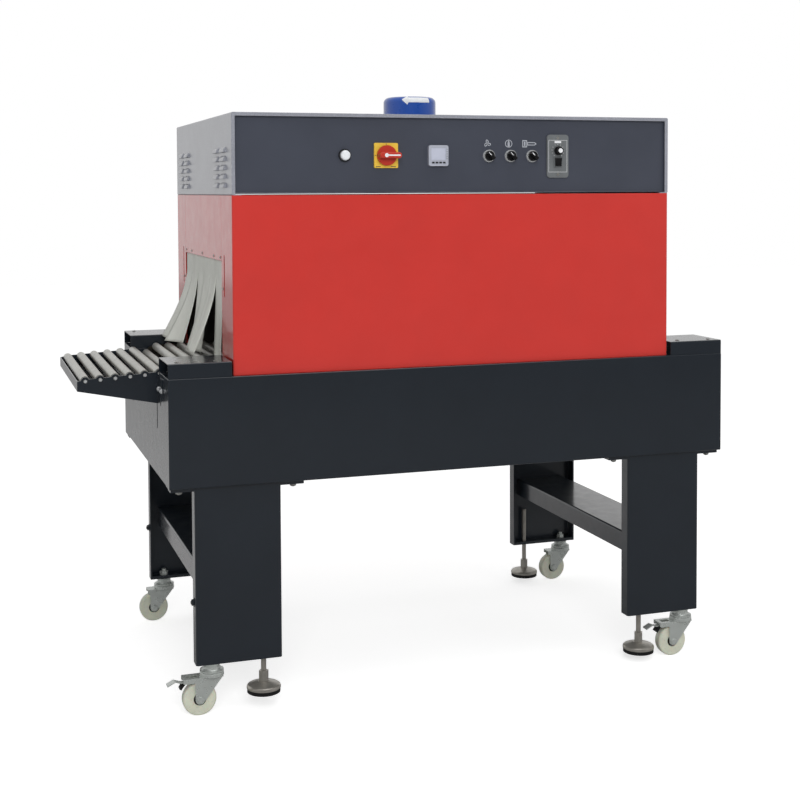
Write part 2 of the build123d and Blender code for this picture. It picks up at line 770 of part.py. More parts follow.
for row, side in (("front", -1), ("back", 1)):
    shelf = shelf_reach[row]
    arm_back = (caster_trail - 0.86 * arm_foot_radius, wheel_radius - 0.51 * arm_foot_radius)
    arm_outline = (
        (-yoke_back, yoke_top),
        arm_back,
        (caster_trail + arm_foot_radius, wheel_radius),
        (caster_trail + arm_foot_radius, yoke_top - skirt_depth),
        (shelf, yoke_top - skirt_depth),
        (shelf, yoke_top),
    )
    with BuildPart(mode=Mode.PRIVATE) as yoke:
        with Locations((0, 0, fork_top - shoulder_height / 2)):
            Cylinder(shoulder_radius, shoulder_height)
        fillet(yoke.edges().filter_by(GeomType.CIRCLE).sort_by(Axis.Z)[-1], shoulder_round)
        with Locations((0, 0, yoke_top + (shoulder_height - fork_wall) / 2)):
            Cylinder(shoulder_radius - fork_wall, shoulder_height - fork_wall, mode=Mode.SUBTRACT)
        with Locations((0, 0, fork_top - fork_wall / 2)):
            Cylinder(kingpin_radius + pin_clearance, fork_wall, mode=Mode.SUBTRACT)
        with Locations(((shelf - yoke_back) / 2, 0, yoke_top - fork_wall / 2)):
            Box(shelf + yoke_back, 2 * (fork_half + fork_wall), fork_wall)
        if row == "front":
            with Locations(((window_start + window_end) / 2, 0, yoke_top - fork_wall / 2)):
                Box(window_end - window_start, 2 * window_half, fork_wall, mode=Mode.SUBTRACT)
        for flank in (-1, 1):
            near = flank * (fork_half + fork_wall / 2) + fork_wall / 2
            with BuildSketch(Plane.XZ.offset(-near)):
                with BuildLine():
                    FilletPolyline(*arm_outline, radius=arm_round, close=True)
                make_face()
                with Locations((caster_trail, wheel_radius)):
                    Circle(arm_foot_radius)
            extrude(amount=fork_wall)
        with Locations(Location((caster_trail, 0, wheel_radius), (90, 0, 0))):
            add(axle.part)
    for end, way in (("left", -1), ("right", 1)):
        spot = Location((mid_x + way * (leg_centre + caster_offset), side * axle_row, 0), (0, 0, heading))
        whole = yoke.part.moved(spot)
        whole.label = f"caster_fork_{row}_{end}"
        export_step(whole, f"parts/caster_fork_{row}_{end}.step")

# Caster wheels: rounded tread, a sunk ring round the hub, bored for the axle bolt
hub_radius = 8.5
hub_width = 27.0
pocket_radius = 14.0
pocket_depth = 4.0
tread_round = 5.0
for row, side in (("front", -1), ("back", 1)):
    for end, way in (("left", -1), ("right", 1)):
        spot = Location((mid_x + way * (leg_centre + caster_offset), side * axle_row, 0), (0, 0, heading))
        hub = spot * Pos(caster_trail, 0, wheel_radius) * Rot(90, 0, 0)
        with BuildPart() as wheel:
            with Locations(hub):
                Cylinder(wheel_radius, wheel_width)
            fillet(wheel.edges().filter_by(GeomType.CIRCLE), tread_round)
            for flank in (-1, 1):
                with Locations(hub * Pos(0, 0, flank * (wheel_width - pocket_depth) / 2)):
                    Cylinder(pocket_radius, pocket_depth, mode=Mode.SUBTRACT)
            with Locations(hub):
                Cylinder(hub_radius, hub_width)
                Cylinder(axle_radius + pin_clearance, hub_width, mode=Mode.SUBTRACT)
        wheel.part.label = f"caster_wheel_{row}_{end}"
        export_step(wheel.part, f"parts/caster_wheel_{row}_{end}.step")

# Levelling feet: stud, hex and domed base with a rolled rim on a rubber pad
foot_radius = 38.5
foot_rim = 11.0
foot_pad = 9.0
foot_shoulder = 33.0
foot_shoulder_height = 17.5
foot_dome = 24.0
hex_radius = 11.0
hex_height = 24.0
foot_lift = {"left": 34.0, "right": 18.0}
stud_length = 174.0
for row, side in (("front", -1), ("back", 1)):
    for end, way in (("left", -1), ("right", 1)):
        foot_x = mid_x + way * (leg_centre - foot_offset)
        lift = foot_lift[end]
        with BuildPart() as foot:
            with BuildSketch(Plane.XZ.offset(-side * axle_row)):
                with BuildLine():
                    Polyline(
                        (foot_x, lift),
                        (foot_x + foot_radius - 1, lift),
                        (foot_x + foot_radius - 1, lift + foot_pad),
                        (foot_x + foot_radius, lift + foot_pad),
                        (foot_x + foot_radius, lift + foot_rim),
                    )
                    ThreePointArc(
                        (foot_x + foot_radius, lift + foot_rim),
                        (foot_x + foot_radius - 1.5, lift + foot_rim + 4.5),
                        (foot_x + foot_shoulder, lift + foot_shoulder_height),
                    )
                    Polyline(
                        (foot_x + foot_shoulder, lift + foot_shoulder_height),
                        (foot_x + hex_radius + 2, lift + foot_dome),
                        (foot_x, lift + foot_dome),
                        (foot_x, lift),
                    )
                make_face()
            revolve(axis=Axis((foot_x, side * axle_row, 0), (0, 0, 1)))
            with BuildSketch(Plane.XY.offset(lift + foot_dome)):
                with Locations((foot_x, side * axle_row)):
                    RegularPolygon(hex_radius, 6)
            extrude(amount=hex_height)
            with BuildSketch(Plane.XY.offset(lift + foot_dome)):
                with Locations((foot_x, side * axle_row)):
                    Circle(stud_radius)
            extrude(amount=stud_length)
        foot.part.label = f"levelling_foot_{row}_{end}"
        export_step(foot.part, f"parts/levelling_foot_{row}_{end}.step")

# Brake levers on the front casters: a pin between the skirts, a bent arm and a pad
brake_pivot_x = 56.0
brake_pivot_z = yoke_top - 9.5
brake_pin_radius = 4.0
brake_pin_half = fork_half - 1.5
brake_reach = 100.0
brake_pad_start = 84.0
brake_pad_rise = 3.5
brake_pad_fall = 8.0
brake_pad_half = 10.0
brake_arm_half = 6.0
brake_wall = 2.5
brake_middle = (brake_pivot_x + brake_pad_start) / 2
brake_line = (
    (brake_pivot_x, brake_pivot_z),
    (brake_middle, brake_pivot_z - 1),
    (brake_pad_start, brake_pivot_z + brake_pad_rise),
    (brake_reach, brake_pivot_z + brake_pad_rise - brake_pad_fall),
)
for end, way in (("left", -1), ("right", 1)):
    spot = Location((mid_x + way * (leg_centre + caster_offset), -axle_row, 0), (0, 0, heading))
    with BuildPart(mode=Mode.PRIVATE) as lever:
        with BuildSketch(Plane.XZ.offset(-brake_pin_half)):
            with Locations((brake_pivot_x, brake_pivot_z)):
                Circle(brake_pin_radius)
        extrude(amount=2 * brake_pin_half)
        for half, line in ((brake_arm_half, brake_line), (brake_pad_half, brake_line[2:])):
            over = [(x, z + brake_wall / 2) for x, z in line]
            under = [(x, z - brake_wall / 2) for x, z in reversed(line)]
            with BuildSketch(Plane.XZ.offset(-half)):
                with BuildLine():
                    Polyline(*over, *under, close=True)
                make_face()
            extrude(amount=2 * half)
    whole = lever.part.moved(spot)
    whole.label = f"brake_lever_{end}"
    export_step(whole, f"parts/brake_lever_{end}.step")

# Infeed tray: side plates with a hump at each axle, a tip plate and flanges
tray_plate = 3.0
tip_x = bed_left - tray_reach
plate_root = bed_left + tray_tongue
tongue_floor = notch_floor + tray_tongue_gap
root_floor = tongue_floor - tray_root_depth
tip_floor = tray_tip_axle - tray_tip_depth
hump_radius = 9.0
tray_flange = 70.0
tray_pin_radius = 4.0
first_x = tip_x + tray_first_roller
last_x = first_x + (tray_roller_count - 1) * tray_roller_pitch
tray_axles = []
for k in range(tray_roller_count):
    part_way = k / (tray_roller_count - 1)
    tray_axles.append(
        (
            first_x + k * tray_roller_pitch,
            tray_tip_axle + part_way * (tray_root_axle - tray_tip_axle),
        )
    )
with BuildPart() as tray:
    for side in (-1, 1):
        near = side * (tray_half + tray_plate / 2) + tray_plate / 2
        with BuildSketch(Plane.XZ.offset(-near)):
            with BuildLine():
                Polyline(
                    (tip_x, tip_floor),
                    (tip_x, tray_tip_axle),
                    (first_x, tray_tip_axle + 4),
                    (last_x, tray_root_axle + 4),
                    (plate_root, tray_root_axle + 4),
                    (plate_root, tongue_floor),
                    (bed_left, tongue_floor),
                    (bed_left, root_floor),
                    close=True,
                )
            make_face()
            with Locations(*tray_axles):
                Circle(hump_radius)
            with Locations(*tray_axles):
                Circle(tray_pin_radius + pin_clearance, mode=Mode.SUBTRACT)
        extrude(amount=tray_plate)
        flange_y = side * (tray_half + tray_plate + tray_flange / 2)
        with BuildSketch(Plane.YZ.offset(bed_left - sheet)):
            with BuildLine():
                Polyline(
                    (side * (tray_half + tray_plate), root_floor),
                    (side * (tray_half + tray_plate), tongue_floor + 15),
                    (side * (tray_half + tray_plate + tray_flange), tongue_floor + 15),
                    (side * (tray_half + tray_plate + tray_flange), root_floor + 15),
                    close=True,
                )
            make_face()
        extrude(amount=sheet)
    with Locations((tip_x + sheet / 2, 0, (tip_floor + tray_tip_axle) / 2)):
        Box(sheet, 2 * tray_half, tray_tip_axle - tip_floor)
tray.part.label = "tray_frame"
export_step(tray.part, "parts/tray_frame.step")

tray_roller_half = tray_half - 5.0
for k, (x, z) in enumerate(tray_axles):
    with BuildPart() as tray_roller:
        with BuildSketch(Plane.XZ.offset(-tray_roller_half)):
            with Locations((x, z)):
                Circle(tray_roller_radius)
        extrude(amount=2 * tray_roller_half)
        with BuildSketch(Plane.XZ.offset(-(tray_half + tray_plate + 2))):
            with Locations((x, z)):
                Circle(tray_pin_radius)
        extrude(amount=2 * (tray_half + tray_plate + 2))
    tray_roller.part.label = f"tray_roller_{k + 1}"
    export_step(tray_roller.part, f"parts/tray_roller_{k + 1}.step")
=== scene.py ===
import json
from math import cos, pi, radians, sin

import bmesh
import bpy
from mathutils import Matrix, Vector

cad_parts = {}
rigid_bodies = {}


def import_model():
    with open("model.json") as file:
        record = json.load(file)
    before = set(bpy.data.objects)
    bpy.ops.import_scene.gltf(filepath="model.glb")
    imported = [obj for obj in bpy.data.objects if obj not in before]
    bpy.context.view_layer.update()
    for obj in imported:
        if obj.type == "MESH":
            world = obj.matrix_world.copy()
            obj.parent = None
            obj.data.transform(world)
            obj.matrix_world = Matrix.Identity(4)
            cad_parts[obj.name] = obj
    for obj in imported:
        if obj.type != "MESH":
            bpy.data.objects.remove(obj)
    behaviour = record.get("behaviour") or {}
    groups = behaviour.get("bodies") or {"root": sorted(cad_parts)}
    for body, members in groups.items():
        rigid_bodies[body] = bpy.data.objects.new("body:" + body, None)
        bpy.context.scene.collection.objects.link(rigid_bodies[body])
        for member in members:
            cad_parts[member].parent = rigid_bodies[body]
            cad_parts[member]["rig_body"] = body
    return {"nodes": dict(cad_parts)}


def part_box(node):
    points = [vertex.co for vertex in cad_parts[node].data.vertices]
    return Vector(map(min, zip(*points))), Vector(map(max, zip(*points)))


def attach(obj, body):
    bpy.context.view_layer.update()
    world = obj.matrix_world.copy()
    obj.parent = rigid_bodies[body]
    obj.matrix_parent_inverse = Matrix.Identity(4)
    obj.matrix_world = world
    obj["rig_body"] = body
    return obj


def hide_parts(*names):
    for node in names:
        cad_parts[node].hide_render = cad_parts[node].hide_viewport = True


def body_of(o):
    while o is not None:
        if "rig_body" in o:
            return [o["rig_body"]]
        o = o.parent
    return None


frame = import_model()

bl_info = {
    "name": "Heat shrink tunnel dressing",
    "version": (1, 0, 0),
    "blender": (4, 5, 0),
    "location": "3D View > Sidebar > Tunnel",
    "description": "Paint, strip curtains, chains, screws, markings and a studio for a heat shrink tunnel",
    "category": "Object",
}

MM = 0.001
NODES = frame["nodes"]
ROWS = ("front", "back")
ENDS = ("left", "right")
LEGS = [f"leg_{row}_{end}" for row in ROWS for end in ENDS]
SELECTORS = (1, 2, 3)
TRAY_ROLLERS = (1, 2, 3, 4, 5, 6)
SPEED_PLATE = 4 * MM
CREASE = 35.0
TO_INFEED = (-1, 0, 0)
TO_OUTFEED = (1, 0, 0)
TO_FRONT = (0, -1, 0)
TO_BACK = (0, 1, 0)
UP = (0, 0, 1)
DOWN = (0, 0, -1)

bpy.context.view_layer.update()


def low(node):
    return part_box(node)[0]


def high(node):
    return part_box(node)[1]


def centre(node):
    return (low(node) + high(node)) / 2


# What a user would change

def paint_property(name, description, screen):
    """A colour setting, given as it looks on screen, in parts of 255."""
    return bpy.props.FloatVectorProperty(
        name=name,
        description=description,
        subtype="COLOR_GAMMA",
        size=3,
        min=0,
        max=1,
        default=[part / 255 for part in screen],
    )


def number_property(name, description, default, unit="NONE"):
    """A number setting. Lengths are given in millimetres and angles in degrees."""
    default *= {"LENGTH": MM, "ROTATION": radians(1)}.get(unit, 1)
    return bpy.props.FloatProperty(
        name=name, description=description, unit=unit, precision=5, default=default
    )


class TunnelColours(bpy.types.PropertyGroup):
    slate: paint_property("Slate", "Bed, legs and tray", (27, 35, 44))
    hood: paint_property("Hood", "Hammered grey of the hood shell", (150, 152, 162))
    panel: paint_property("Panel", "Control panel and back panel", (70, 74, 86))
    red: paint_property("Red", "Chamber walls and header plates", (214, 52, 44))
    blue: paint_property("Blue", "Fan motor cowl", (32, 82, 174))
    cloth: paint_property("Curtain", "Coated glass cloth of the strips", (230, 232, 224))
    nylon: paint_property("Nylon", "Caster wheels", (216, 218, 200))
    yellow: paint_property("Yellow", "Plate of the main switch", (240, 200, 72))


class TunnelSheetwork(bpy.types.PropertyGroup):
    edge: number_property("Edge", "Rounding of the sheet edges", 0.5, "LENGTH")
    screw: number_property("Screw", "Radius of a pan head", 4.6, "LENGTH")
    bolt: number_property("Bolt", "Radius of a hexagon head, over its corners", 7.5, "LENGTH")


class TunnelCurtain(bpy.types.PropertyGroup):
    thickness: number_property("Thickness", "Thickness of the cloth", 1.0, "LENGTH")
    band: number_property("Band", "Uncut height under the header", 46.0, "LENGTH")
    drop: number_property("Drop", "Whole length of the cloth", 236.0, "LENGTH")


class TunnelStudio(bpy.types.PropertyGroup):
    lens: number_property("Lens", "Focal length on a 36 mm sensor", 60.8, "CAMERA")
    place: bpy.props.FloatVectorProperty(
        name="Camera place",
        description="Where the camera stands",
        subtype="TRANSLATION",
        unit="LENGTH",
        default=(-1.0408, -3.3017, 1.1617),
    )
    yaw: number_property("Yaw", "Turn from +Y towards +X", 18.476, "ROTATION")
    pitch: number_property("Pitch", "Tilt below the horizon", 2.514, "ROTATION")
    roll: number_property("Roll", "Turn about the view line", -0.26, "ROTATION")
    rise: number_property("Rise", "Vertical lens shift", -0.1875)
    daylight: number_property("Daylight", "Strength of the light from all round", 0.40)


def settings(group):
    return getattr(bpy.context.scene, group)


def screen_colour(screen):
    """Turns a colour as it looks on screen, 0 to 1, into the light that shaders take."""
    light = [part / 12.92 if part <= 0.04045 else ((part + 0.055) / 1.055) ** 2.4 for part in screen]
    return (*light, 1.0)


def shade(red, green, blue):
    """A colour as it looks on screen, in parts of 255."""
    return screen_colour((red / 255, green / 255, blue / 255))


def grey(level):
    return (level, level, level, 1)


# Node trees

class Wire:
    """The value on one socket. Sums written with it add Math nodes."""

    def __init__(self, plan, socket):
        self.plan = plan
        self.socket = socket

    def twin(self, output):
        """Another output of the same node."""
        return Wire(self.plan, self.socket.node.outputs[output])

    def maths(self, operation, *others):
        values = dict(enumerate((self, *others)))
        return self.plan.add("ShaderNodeMath", values, {"operation": operation})

    def __add__(self, other):
        return self.maths("ADD", other)

    def __mul__(self, other):
        return self.maths("MULTIPLY", other)

    def __sub__(self, other):
        return self.maths("SUBTRACT", other)

    def __rsub__(self, other):
        return self * -1 + other

    def between(self, start, end):
        """0 where the value is at start, 1 where it is at end, and held at both sides."""
        values = {"Value": self, "From Min": start, "From Max": end}
        return self.plan.add("ShaderNodeMapRange", values, {"clamp": True})


class Plan:
    """A node tree in the making. add() makes any node and gives one of its outputs."""

    def __init__(self, tree):
        self.tree = tree

    def add(self, kind, values=None, options=None, output=0):
        """Options are set on the node, and values or wires on its inputs."""
        node = self.tree.nodes.new(kind)
        for name, value in (options or {}).items():
            setattr(node, name, value)
        for key, value in (values or {}).items():
            if isinstance(value, Wire):
                self.tree.links.new(value.socket, node.inputs[key])
            else:
                node.inputs[key].default_value = value
        return Wire(self, node.outputs[output]) if node.outputs else None


class Finish(Plan):
    """A material in the making, with patterns in the part's own coordinates."""

    def __init__(self, name):
        self.material = bpy.data.materials.new(name)
        self.material.use_nodes = True
        super().__init__(self.material.node_tree)
        self.tree.nodes.clear()
        self.spot = self.add("ShaderNodeTexCoord", output="Object")

    def along(self, axis):
        """The coordinate along X, Y or Z, in metres."""
        return self.add("ShaderNodeSeparateXYZ", {0: self.spot}, output=axis)

    def within(self, middle, radius):
        """1 inside a radius about an axis along Y, 0 outside."""
        soft = 0.3 * MM
        across = self.along("X") - middle.x
        up = self.along("Z") - middle.z
        reach = (across * across + up * up).maths("SQRT")
        return reach.between(radius + soft, radius - soft)

    def noise(self, scale, detail=2.0, stretch=(1, 1, 1), roughness=0.5, spot=None):
        spot = spot or self.spot
        if stretch != (1, 1, 1):
            spot = self.add("ShaderNodeVectorMath", {0: spot, 1: stretch}, {"operation": "MULTIPLY"})
        values = {"Vector": spot, "Scale": scale, "Detail": detail, "Roughness": roughness}
        return self.add("ShaderNodeTexNoise", values, output="Fac")

    def blend(self, mask, first, second):
        """first where the mask is 0, second where it is 1."""
        values = {0: mask, 6: first, 7: second}
        return self.add("ShaderNodeMix", values, {"data_type": "RGBA"}, output=2)

    def cloudy(self, colour, spread, scale=9.0):
        """The colour, a little lighter and darker in soft clouds."""
        darker = (*[part * (1 - spread) for part in colour[:3]], 1.0)
        lighter = (*[min(1.0, part * (1 + spread)) for part in colour[:3]], 1.0)
        return self.blend(self.noise(scale, 4).between(0.3, 0.7), darker, lighter)

    def relief(self, height, distance, strength, under=None):
        """Fine bumps, up to a distance high. under is a coarser relief that they stand on."""
        values = {"Height": height, "Distance": distance, "Strength": strength}
        if under:
            values["Normal"] = under
        return self.add("ShaderNodeBump", values)

    def close(self, base, roughness, relief=None, **constants):
        """Ends the material in a surface. Constants are given by socket name with _ for spaces."""
        values = {"Base Color": base, "Roughness": roughness}
        values.update({name.replace("_", " "): value for name, value in constants.items()})
        if relief:
            values["Normal"] = relief
        surface = self.add("ShaderNodeBsdfPrincipled", values)
        self.add("ShaderNodeOutputMaterial", {"Surface": surface})
        return self.material


# Finishes

def powder_coat(name, colour, gloss=0.42, peel=0.12 * MM, spread=0.06):
    """Baked powder paint: orange peel, faint clouds and a thin film of dust on level faces."""
    finish = Finish(name)
    facing = finish.add("ShaderNodeNewGeometry", output="Normal")
    level = finish.add("ShaderNodeSeparateXYZ", {0: facing}, output="Z").between(0.6, 1.0)
    dust = level * finish.noise(38, 5).between(0.45, 0.8) * 0.10
    base = finish.blend(dust, finish.cloudy(colour, spread), shade(150, 148, 142))
    rub = finish.noise(26, 6, roughness=0.65).between(0.35, 0.75)
    relief = finish.relief(finish.noise(520, 2), peel, 0.5)
    coat = {"Coat_Weight": 0.9, "Coat_Roughness": 0.14, "Coat_IOR": 1.55}
    return finish.close(base, rub * 0.12 + (gloss - 0.05), relief, **coat)


def hammered_paint(name, colour):
    """Textured grey paint: fine pits that glint."""
    finish = Finish(name)
    pits = finish.add("ShaderNodeTexVoronoi", {"Vector": finish.spot, "Scale": 330})
    grain = finish.noise(900, 2)
    glints = pits.between(0.45, 0.75) * 0.35
    base = finish.blend(glints, finish.cloudy(colour, 0.08, 12), shade(176, 180, 188))
    relief = finish.relief(pits * 0.7 + grain * 0.3, 0.2 * MM, 0.45)
    coat = {"Coat_Weight": 0.8, "Coat_Roughness": 0.2, "Coat_IOR": 1.55}
    return finish.close(base, grain * 0.16 + 0.30, relief, **coat)


def bright_metal(name, screen, gloss, brush=(1, 1, 1), scale=160.0, spread=0.10, metal=1.0):
    """Plated or plain metal, brushed along the axis that is stretched least."""
    finish = Finish(name)
    base = finish.cloudy(shade(*screen), spread, 30)
    marks = finish.noise(scale, 4, brush)
    relief = finish.relief(marks, 0.06 * MM, 0.35)
    return finish.close(base, marks * 0.22 + (gloss - 0.08), relief, Metallic=metal)


def moulded(name, colour, gloss, grain=0.08 * MM):
    """Moulded plastic or rubber with a fine grain."""
    finish = Finish(name)
    relief = finish.relief(finish.noise(1100, 2), grain, 0.45)
    roughness = finish.noise(60, 4) * 0.14 + (gloss - 0.07)
    return finish.close(finish.cloudy(colour, 0.05, 40), roughness, relief)


def nylon_finish(name, colour, hub, pocket):
    """Cast nylon: milky and scuffed. The pocket round the hub is painted dark, partly as painted shade in
    the recess and partly for the dark bearing in it.
    """
    finish = Finish(name)
    # Painted shade: the pocket round the hub is darkened for the shade in the recess together with the
    # dark bearing
    pocket_shade_and_bearing = finish.within(hub, pocket)
    base = finish.blend(pocket_shade_and_bearing, finish.cloudy(colour, 0.07, 60), shade(34, 32, 28))
    scuffs = finish.noise(240, 5, (1, 3, 1)).between(0.58, 0.75)
    base = finish.blend(scuffs * 0.3, base, shade(150, 148, 128))
    relief = finish.relief(finish.noise(700, 3), 0.1 * MM, 0.4)
    milk = {"Subsurface_Weight": 0.15, "Subsurface_Scale": 4 * MM}
    return finish.close(base, finish.noise(120, 3) * 0.2 + 0.26, relief, **milk)


def foot_finish(name, pad_top):
    """Zinc foot on a black rubber pad, which ends at a height."""
    finish = Finish(name)
    soft = 0.1 * MM
    pad = finish.along("Z").between(pad_top + soft, pad_top - soft)
    marks = finish.noise(120, 4, (1, 1, 6))
    base = finish.blend(pad, finish.cloudy(shade(184, 180, 172), 0.12, 60), shade(22, 22, 23))
    relief = finish.relief(marks, 0.08 * MM, 0.4)
    return finish.close(base, marks * 0.2 + pad * 0.35 + 0.22, relief, Metallic=0.7 - pad * 0.7)


def lamp_finish(name, middle, radius):
    """White frosted lens of a radius in a dark bezel."""
    finish = Finish(name)
    lens = finish.within(middle, radius)
    base = finish.blend(lens, shade(34, 35, 38), finish.cloudy(shade(240, 244, 248), 0.04, 200))
    frost = finish.noise(420, 2)
    relief = finish.relief(frost, 0.1 * MM, 0.4)
    return finish.close(base, frost * 0.1 + 0.2, relief, Coat_Weight=0.4, Coat_Roughness=0.1)


def sooty_steel(name, colour):
    """Mill steel inside a hot chamber: dull, streaked and heat stained."""
    finish = Finish(name)
    streaks = finish.noise(30, 6, (1, 1, 0.25)).between(0.35, 0.75)
    base = finish.blend(streaks, colour, shade(70, 62, 54))
    relief = finish.relief(finish.noise(300, 4), 0.2 * MM, 0.4)
    return finish.close(base, streaks * 0.2 + 0.42, relief, Metallic=0.8)


def woven_cloth(name, colour):
    """Coated glass cloth: a fine plain weave shows through the coating, from the sheet's own UV."""
    finish = Finish(name)
    flat = finish.add("ShaderNodeUVMap", options={"uv_map": "flat"})
    threads = {"Vector": flat, "Scale": 260.0}
    across = finish.add("ShaderNodeTexWave", threads, {"bands_direction": "X"}, output="Fac")
    down = finish.add("ShaderNodeTexWave", threads, {"bands_direction": "Y"}, output="Fac")
    creases = finish.noise(14, 5, (1.0, 0.35, 1), spot=flat)
    soot = finish.noise(9, 6, (1.6, 0.5, 1), spot=flat).between(0.5, 0.85)
    base = finish.blend(soot * 0.35, finish.cloudy(colour, 0.05, 20), shade(128, 124, 112))
    under = finish.relief(creases, 4 * MM, 0.5)
    relief = finish.relief(across * 0.5 + down * 0.5, 0.2 * MM, 0.5, under)
    return finish.close(base, creases * 0.2 + 0.42, relief)


def plain_mark(name, colour):
    """Printed ink, a little uneven."""
    finish = Finish(name)
    return finish.close(finish.cloudy(colour, 0.04, 120), finish.noise(200, 2) * 0.1 + 0.5)


FINISHES = {}


def make_finishes():
    """Makes every material once. The names are the finishes' own, in plain words."""
    colours = settings("tunnel_colours")
    tint = {name: screen_colour(getattr(colours, name)) for name in TunnelColours.__annotations__}
    lens_radius = 11.5 * MM
    FINISHES.update(
        slate=powder_coat("slate powder coat", tint["slate"]),
        hood=hammered_paint("hammered grey paint", tint["hood"]),
        panel=powder_coat("panel paint", tint["panel"], 0.36, 0.08 * MM),
        red=powder_coat("red powder coat", tint["red"], 0.40, 0.1 * MM, 0.03),
        blue=powder_coat("blue cowl paint", tint["blue"], 0.30, 0.1 * MM),
        zinc=bright_metal("zinc plate", (206, 211, 207), 0.26, scale=45.0, spread=0.05, metal=0.5),
        chrome=bright_metal("chrome", (232, 234, 236), 0.18, spread=0.03, metal=0.55),
        tube=bright_metal("roller tube", (204, 204, 198), 0.36, (30, 0.6, 30), 60, metal=0.6),
        chain=bright_metal("oiled chain steel", (120, 116, 108), 0.34),
        brushed=bright_metal("brushed plate", (124, 128, 130), 0.38, (1, 1, 60), 40, metal=0.25),
        rubber=moulded("black rubber", shade(26, 26, 27), 0.72, 0.2 * MM),
        black=moulded("black plastic", shade(24, 24, 26), 0.34),
        grey=moulded("grey plastic", shade(176, 180, 192), 0.40),
        red_plastic=moulded("red plastic", shade(196, 58, 42), 0.34),
        yellow=moulded("yellow plastic", tint["yellow"], 0.40),
        screen=moulded("screen glass", shade(196, 200, 216), 0.22, 0.02 * MM),
        liner=sooty_steel("chamber liner", shade(96, 94, 90)),
        cloth=woven_cloth("curtain cloth", tint["cloth"]),
        white=plain_mark("white print", shade(240, 242, 244)),
        faint=plain_mark("faint print", shade(176, 180, 188)),
        faint_dark=plain_mark("dark print", shade(70, 70, 74)),
        lamp=lamp_finish("lamp lens and bezel", centre("pilot_lamp"), lens_radius),
        screw=bright_metal("screw steel", (176, 176, 172), 0.32, metal=0.6),
    )


# Pieces

def put(name, data):
    """A new object in the scene."""
    made = bpy.data.objects.new(name, data)
    bpy.context.scene.collection.objects.link(made)
    return made


def mesh_of(bm, name):
    mesh = bpy.data.meshes.new(name)
    bm.to_mesh(mesh)
    bm.free()
    return mesh


def paint(mesh, finish):
    mesh.materials.clear()
    mesh.materials.append(FINISHES[finish])


def dress(finish, *nodes):
    """Gives CAD nodes that stay their finish."""
    for node in nodes:
        paint(NODES[node].data, finish)


def add_piece(name, mesh, finish, body="machine"):
    """Puts a finished mesh in the scene, riding on a CAD body."""
    piece = put(name, mesh)
    paint(mesh, finish)
    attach(piece, body)
    return piece


def closed_mesh(bm, name, crease=CREASE, turn_out=False):
    """Ends a bmesh as a mesh, smooth but for the edges sharper than crease degrees."""
    if turn_out:
        bmesh.ops.recalc_face_normals(bm, faces=bm.faces)
    for face in bm.faces:
        face.smooth = True
    for edge in bm.edges:
        edge.smooth = len(edge.link_faces) == 2 and edge.calc_face_angle(0) < radians(crease)
    return mesh_of(bm, name)


def join_rows(bm, grid):
    """Faces between rows of vertices."""
    for near, far in zip(grid, grid[1:]):
        for k in range(len(near) - 1):
            bm.faces.new((near[k], near[k + 1], far[k + 1], far[k]))


def thicken(piece, thickness):
    """Gives a sheet its wall, half to each side."""
    wall = piece.modifiers.new("Wall", "SOLIDIFY")
    wall.thickness = thickness
    wall.offset = 0


def sheet_copy(node, finish):
    """Stands for a CAD node: the same shape with softened edges, its faces flat to the light."""
    name = f"{node}_sheet"
    weld = 0.005 * MM
    level = radians(0.3)
    bm = bmesh.new()
    bm.from_mesh(NODES[node].data)
    bmesh.ops.remove_doubles(bm, verts=bm.verts, dist=weld)
    bmesh.ops.dissolve_limit(bm, angle_limit=level, verts=bm.verts, edges=bm.edges)
    piece = add_piece(name, closed_mesh(bm, name), finish, body_of(NODES[node])[0])
    edge = piece.modifiers.new("Edge", "BEVEL")
    edge.width = settings("tunnel_sheetwork").edge
    edge.segments = 2
    edge.limit_method = "ANGLE"
    edge.angle_limit = radians(CREASE)
    edge.harden_normals = True
    weigh = piece.modifiers.new("Light", "WEIGHTED_NORMAL")
    weigh.keep_sharp = True
    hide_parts(node)


# Flat drawing in the plane of the front: each function gives (x, z) corners, and its own sizes and
# offsets are millimetres from a middle point

def outline(middle, points):
    return [(middle.x + x * MM, middle.z + z * MM) for x, z in points]


def oblong(middle, x, z, width, height):
    """Corners of an upright rectangle."""
    signs = ((-1, -1), (1, -1), (1, 1), (-1, 1))
    return outline(middle, [(x + a * width / 2, z + b * height / 2) for a, b in signs])


def ring(middle, x, z, radius, steps=28, squeeze=1.0, turn=0.0):
    """Corners of a circle, or of an ellipse that is squeezed and turned."""
    points = []
    for k in range(steps):
        a = radius * cos(2 * pi * k / steps)
        b = radius * squeeze * sin(2 * pi * k / steps)
        points.append((x + a * cos(turn) - b * sin(turn), z + a * sin(turn) + b * cos(turn)))
    return outline(middle, points)


def drawn_in(points, share):
    """The points, drawn together about their middle."""
    x = sum(point[0] for point in points) / len(points)
    z = sum(point[1] for point in points) / len(points)
    return [(x + (a - x) * share, z + (b - z) * share) for a, b in points]


def slab(bm, outer, face, depth, inner=None):
    """A flat plate of (x, z) corners that stands proud of a face looking to -Y, with a hole if asked."""
    rims = []
    for loop in (outer, inner) if inner else (outer,):
        for y in (face - depth, face):
            rims.append([bm.verts.new((x, y, z)) for x, z in loop])
    pairs = [(rims[0], rims[1])]
    if inner:
        pairs += [(rims[2], rims[3]), (rims[0], rims[2]), (rims[1], rims[3])]
    else:
        bm.faces.new(rims[0])
        bm.faces.new(list(reversed(rims[1])))
    count = len(outer)
    for near, far in pairs:
        for k in range(count):
            bm.faces.new((near[k], near[(k + 1) % count], far[(k + 1) % count], far[k]))


def add_plates(name, loops, face, depth, finish, body="machine"):
    """Flat plates in one piece. Each loop is a filled outline, or an outline and its hole."""
    bm = bmesh.new()
    for loop in loops:
        outer, inner = loop if isinstance(loop, tuple) else (loop, None)
        slab(bm, outer, face, depth, inner)
    add_piece(name, closed_mesh(bm, name, turn_out=True), finish, body)


# Shapes that are repeated

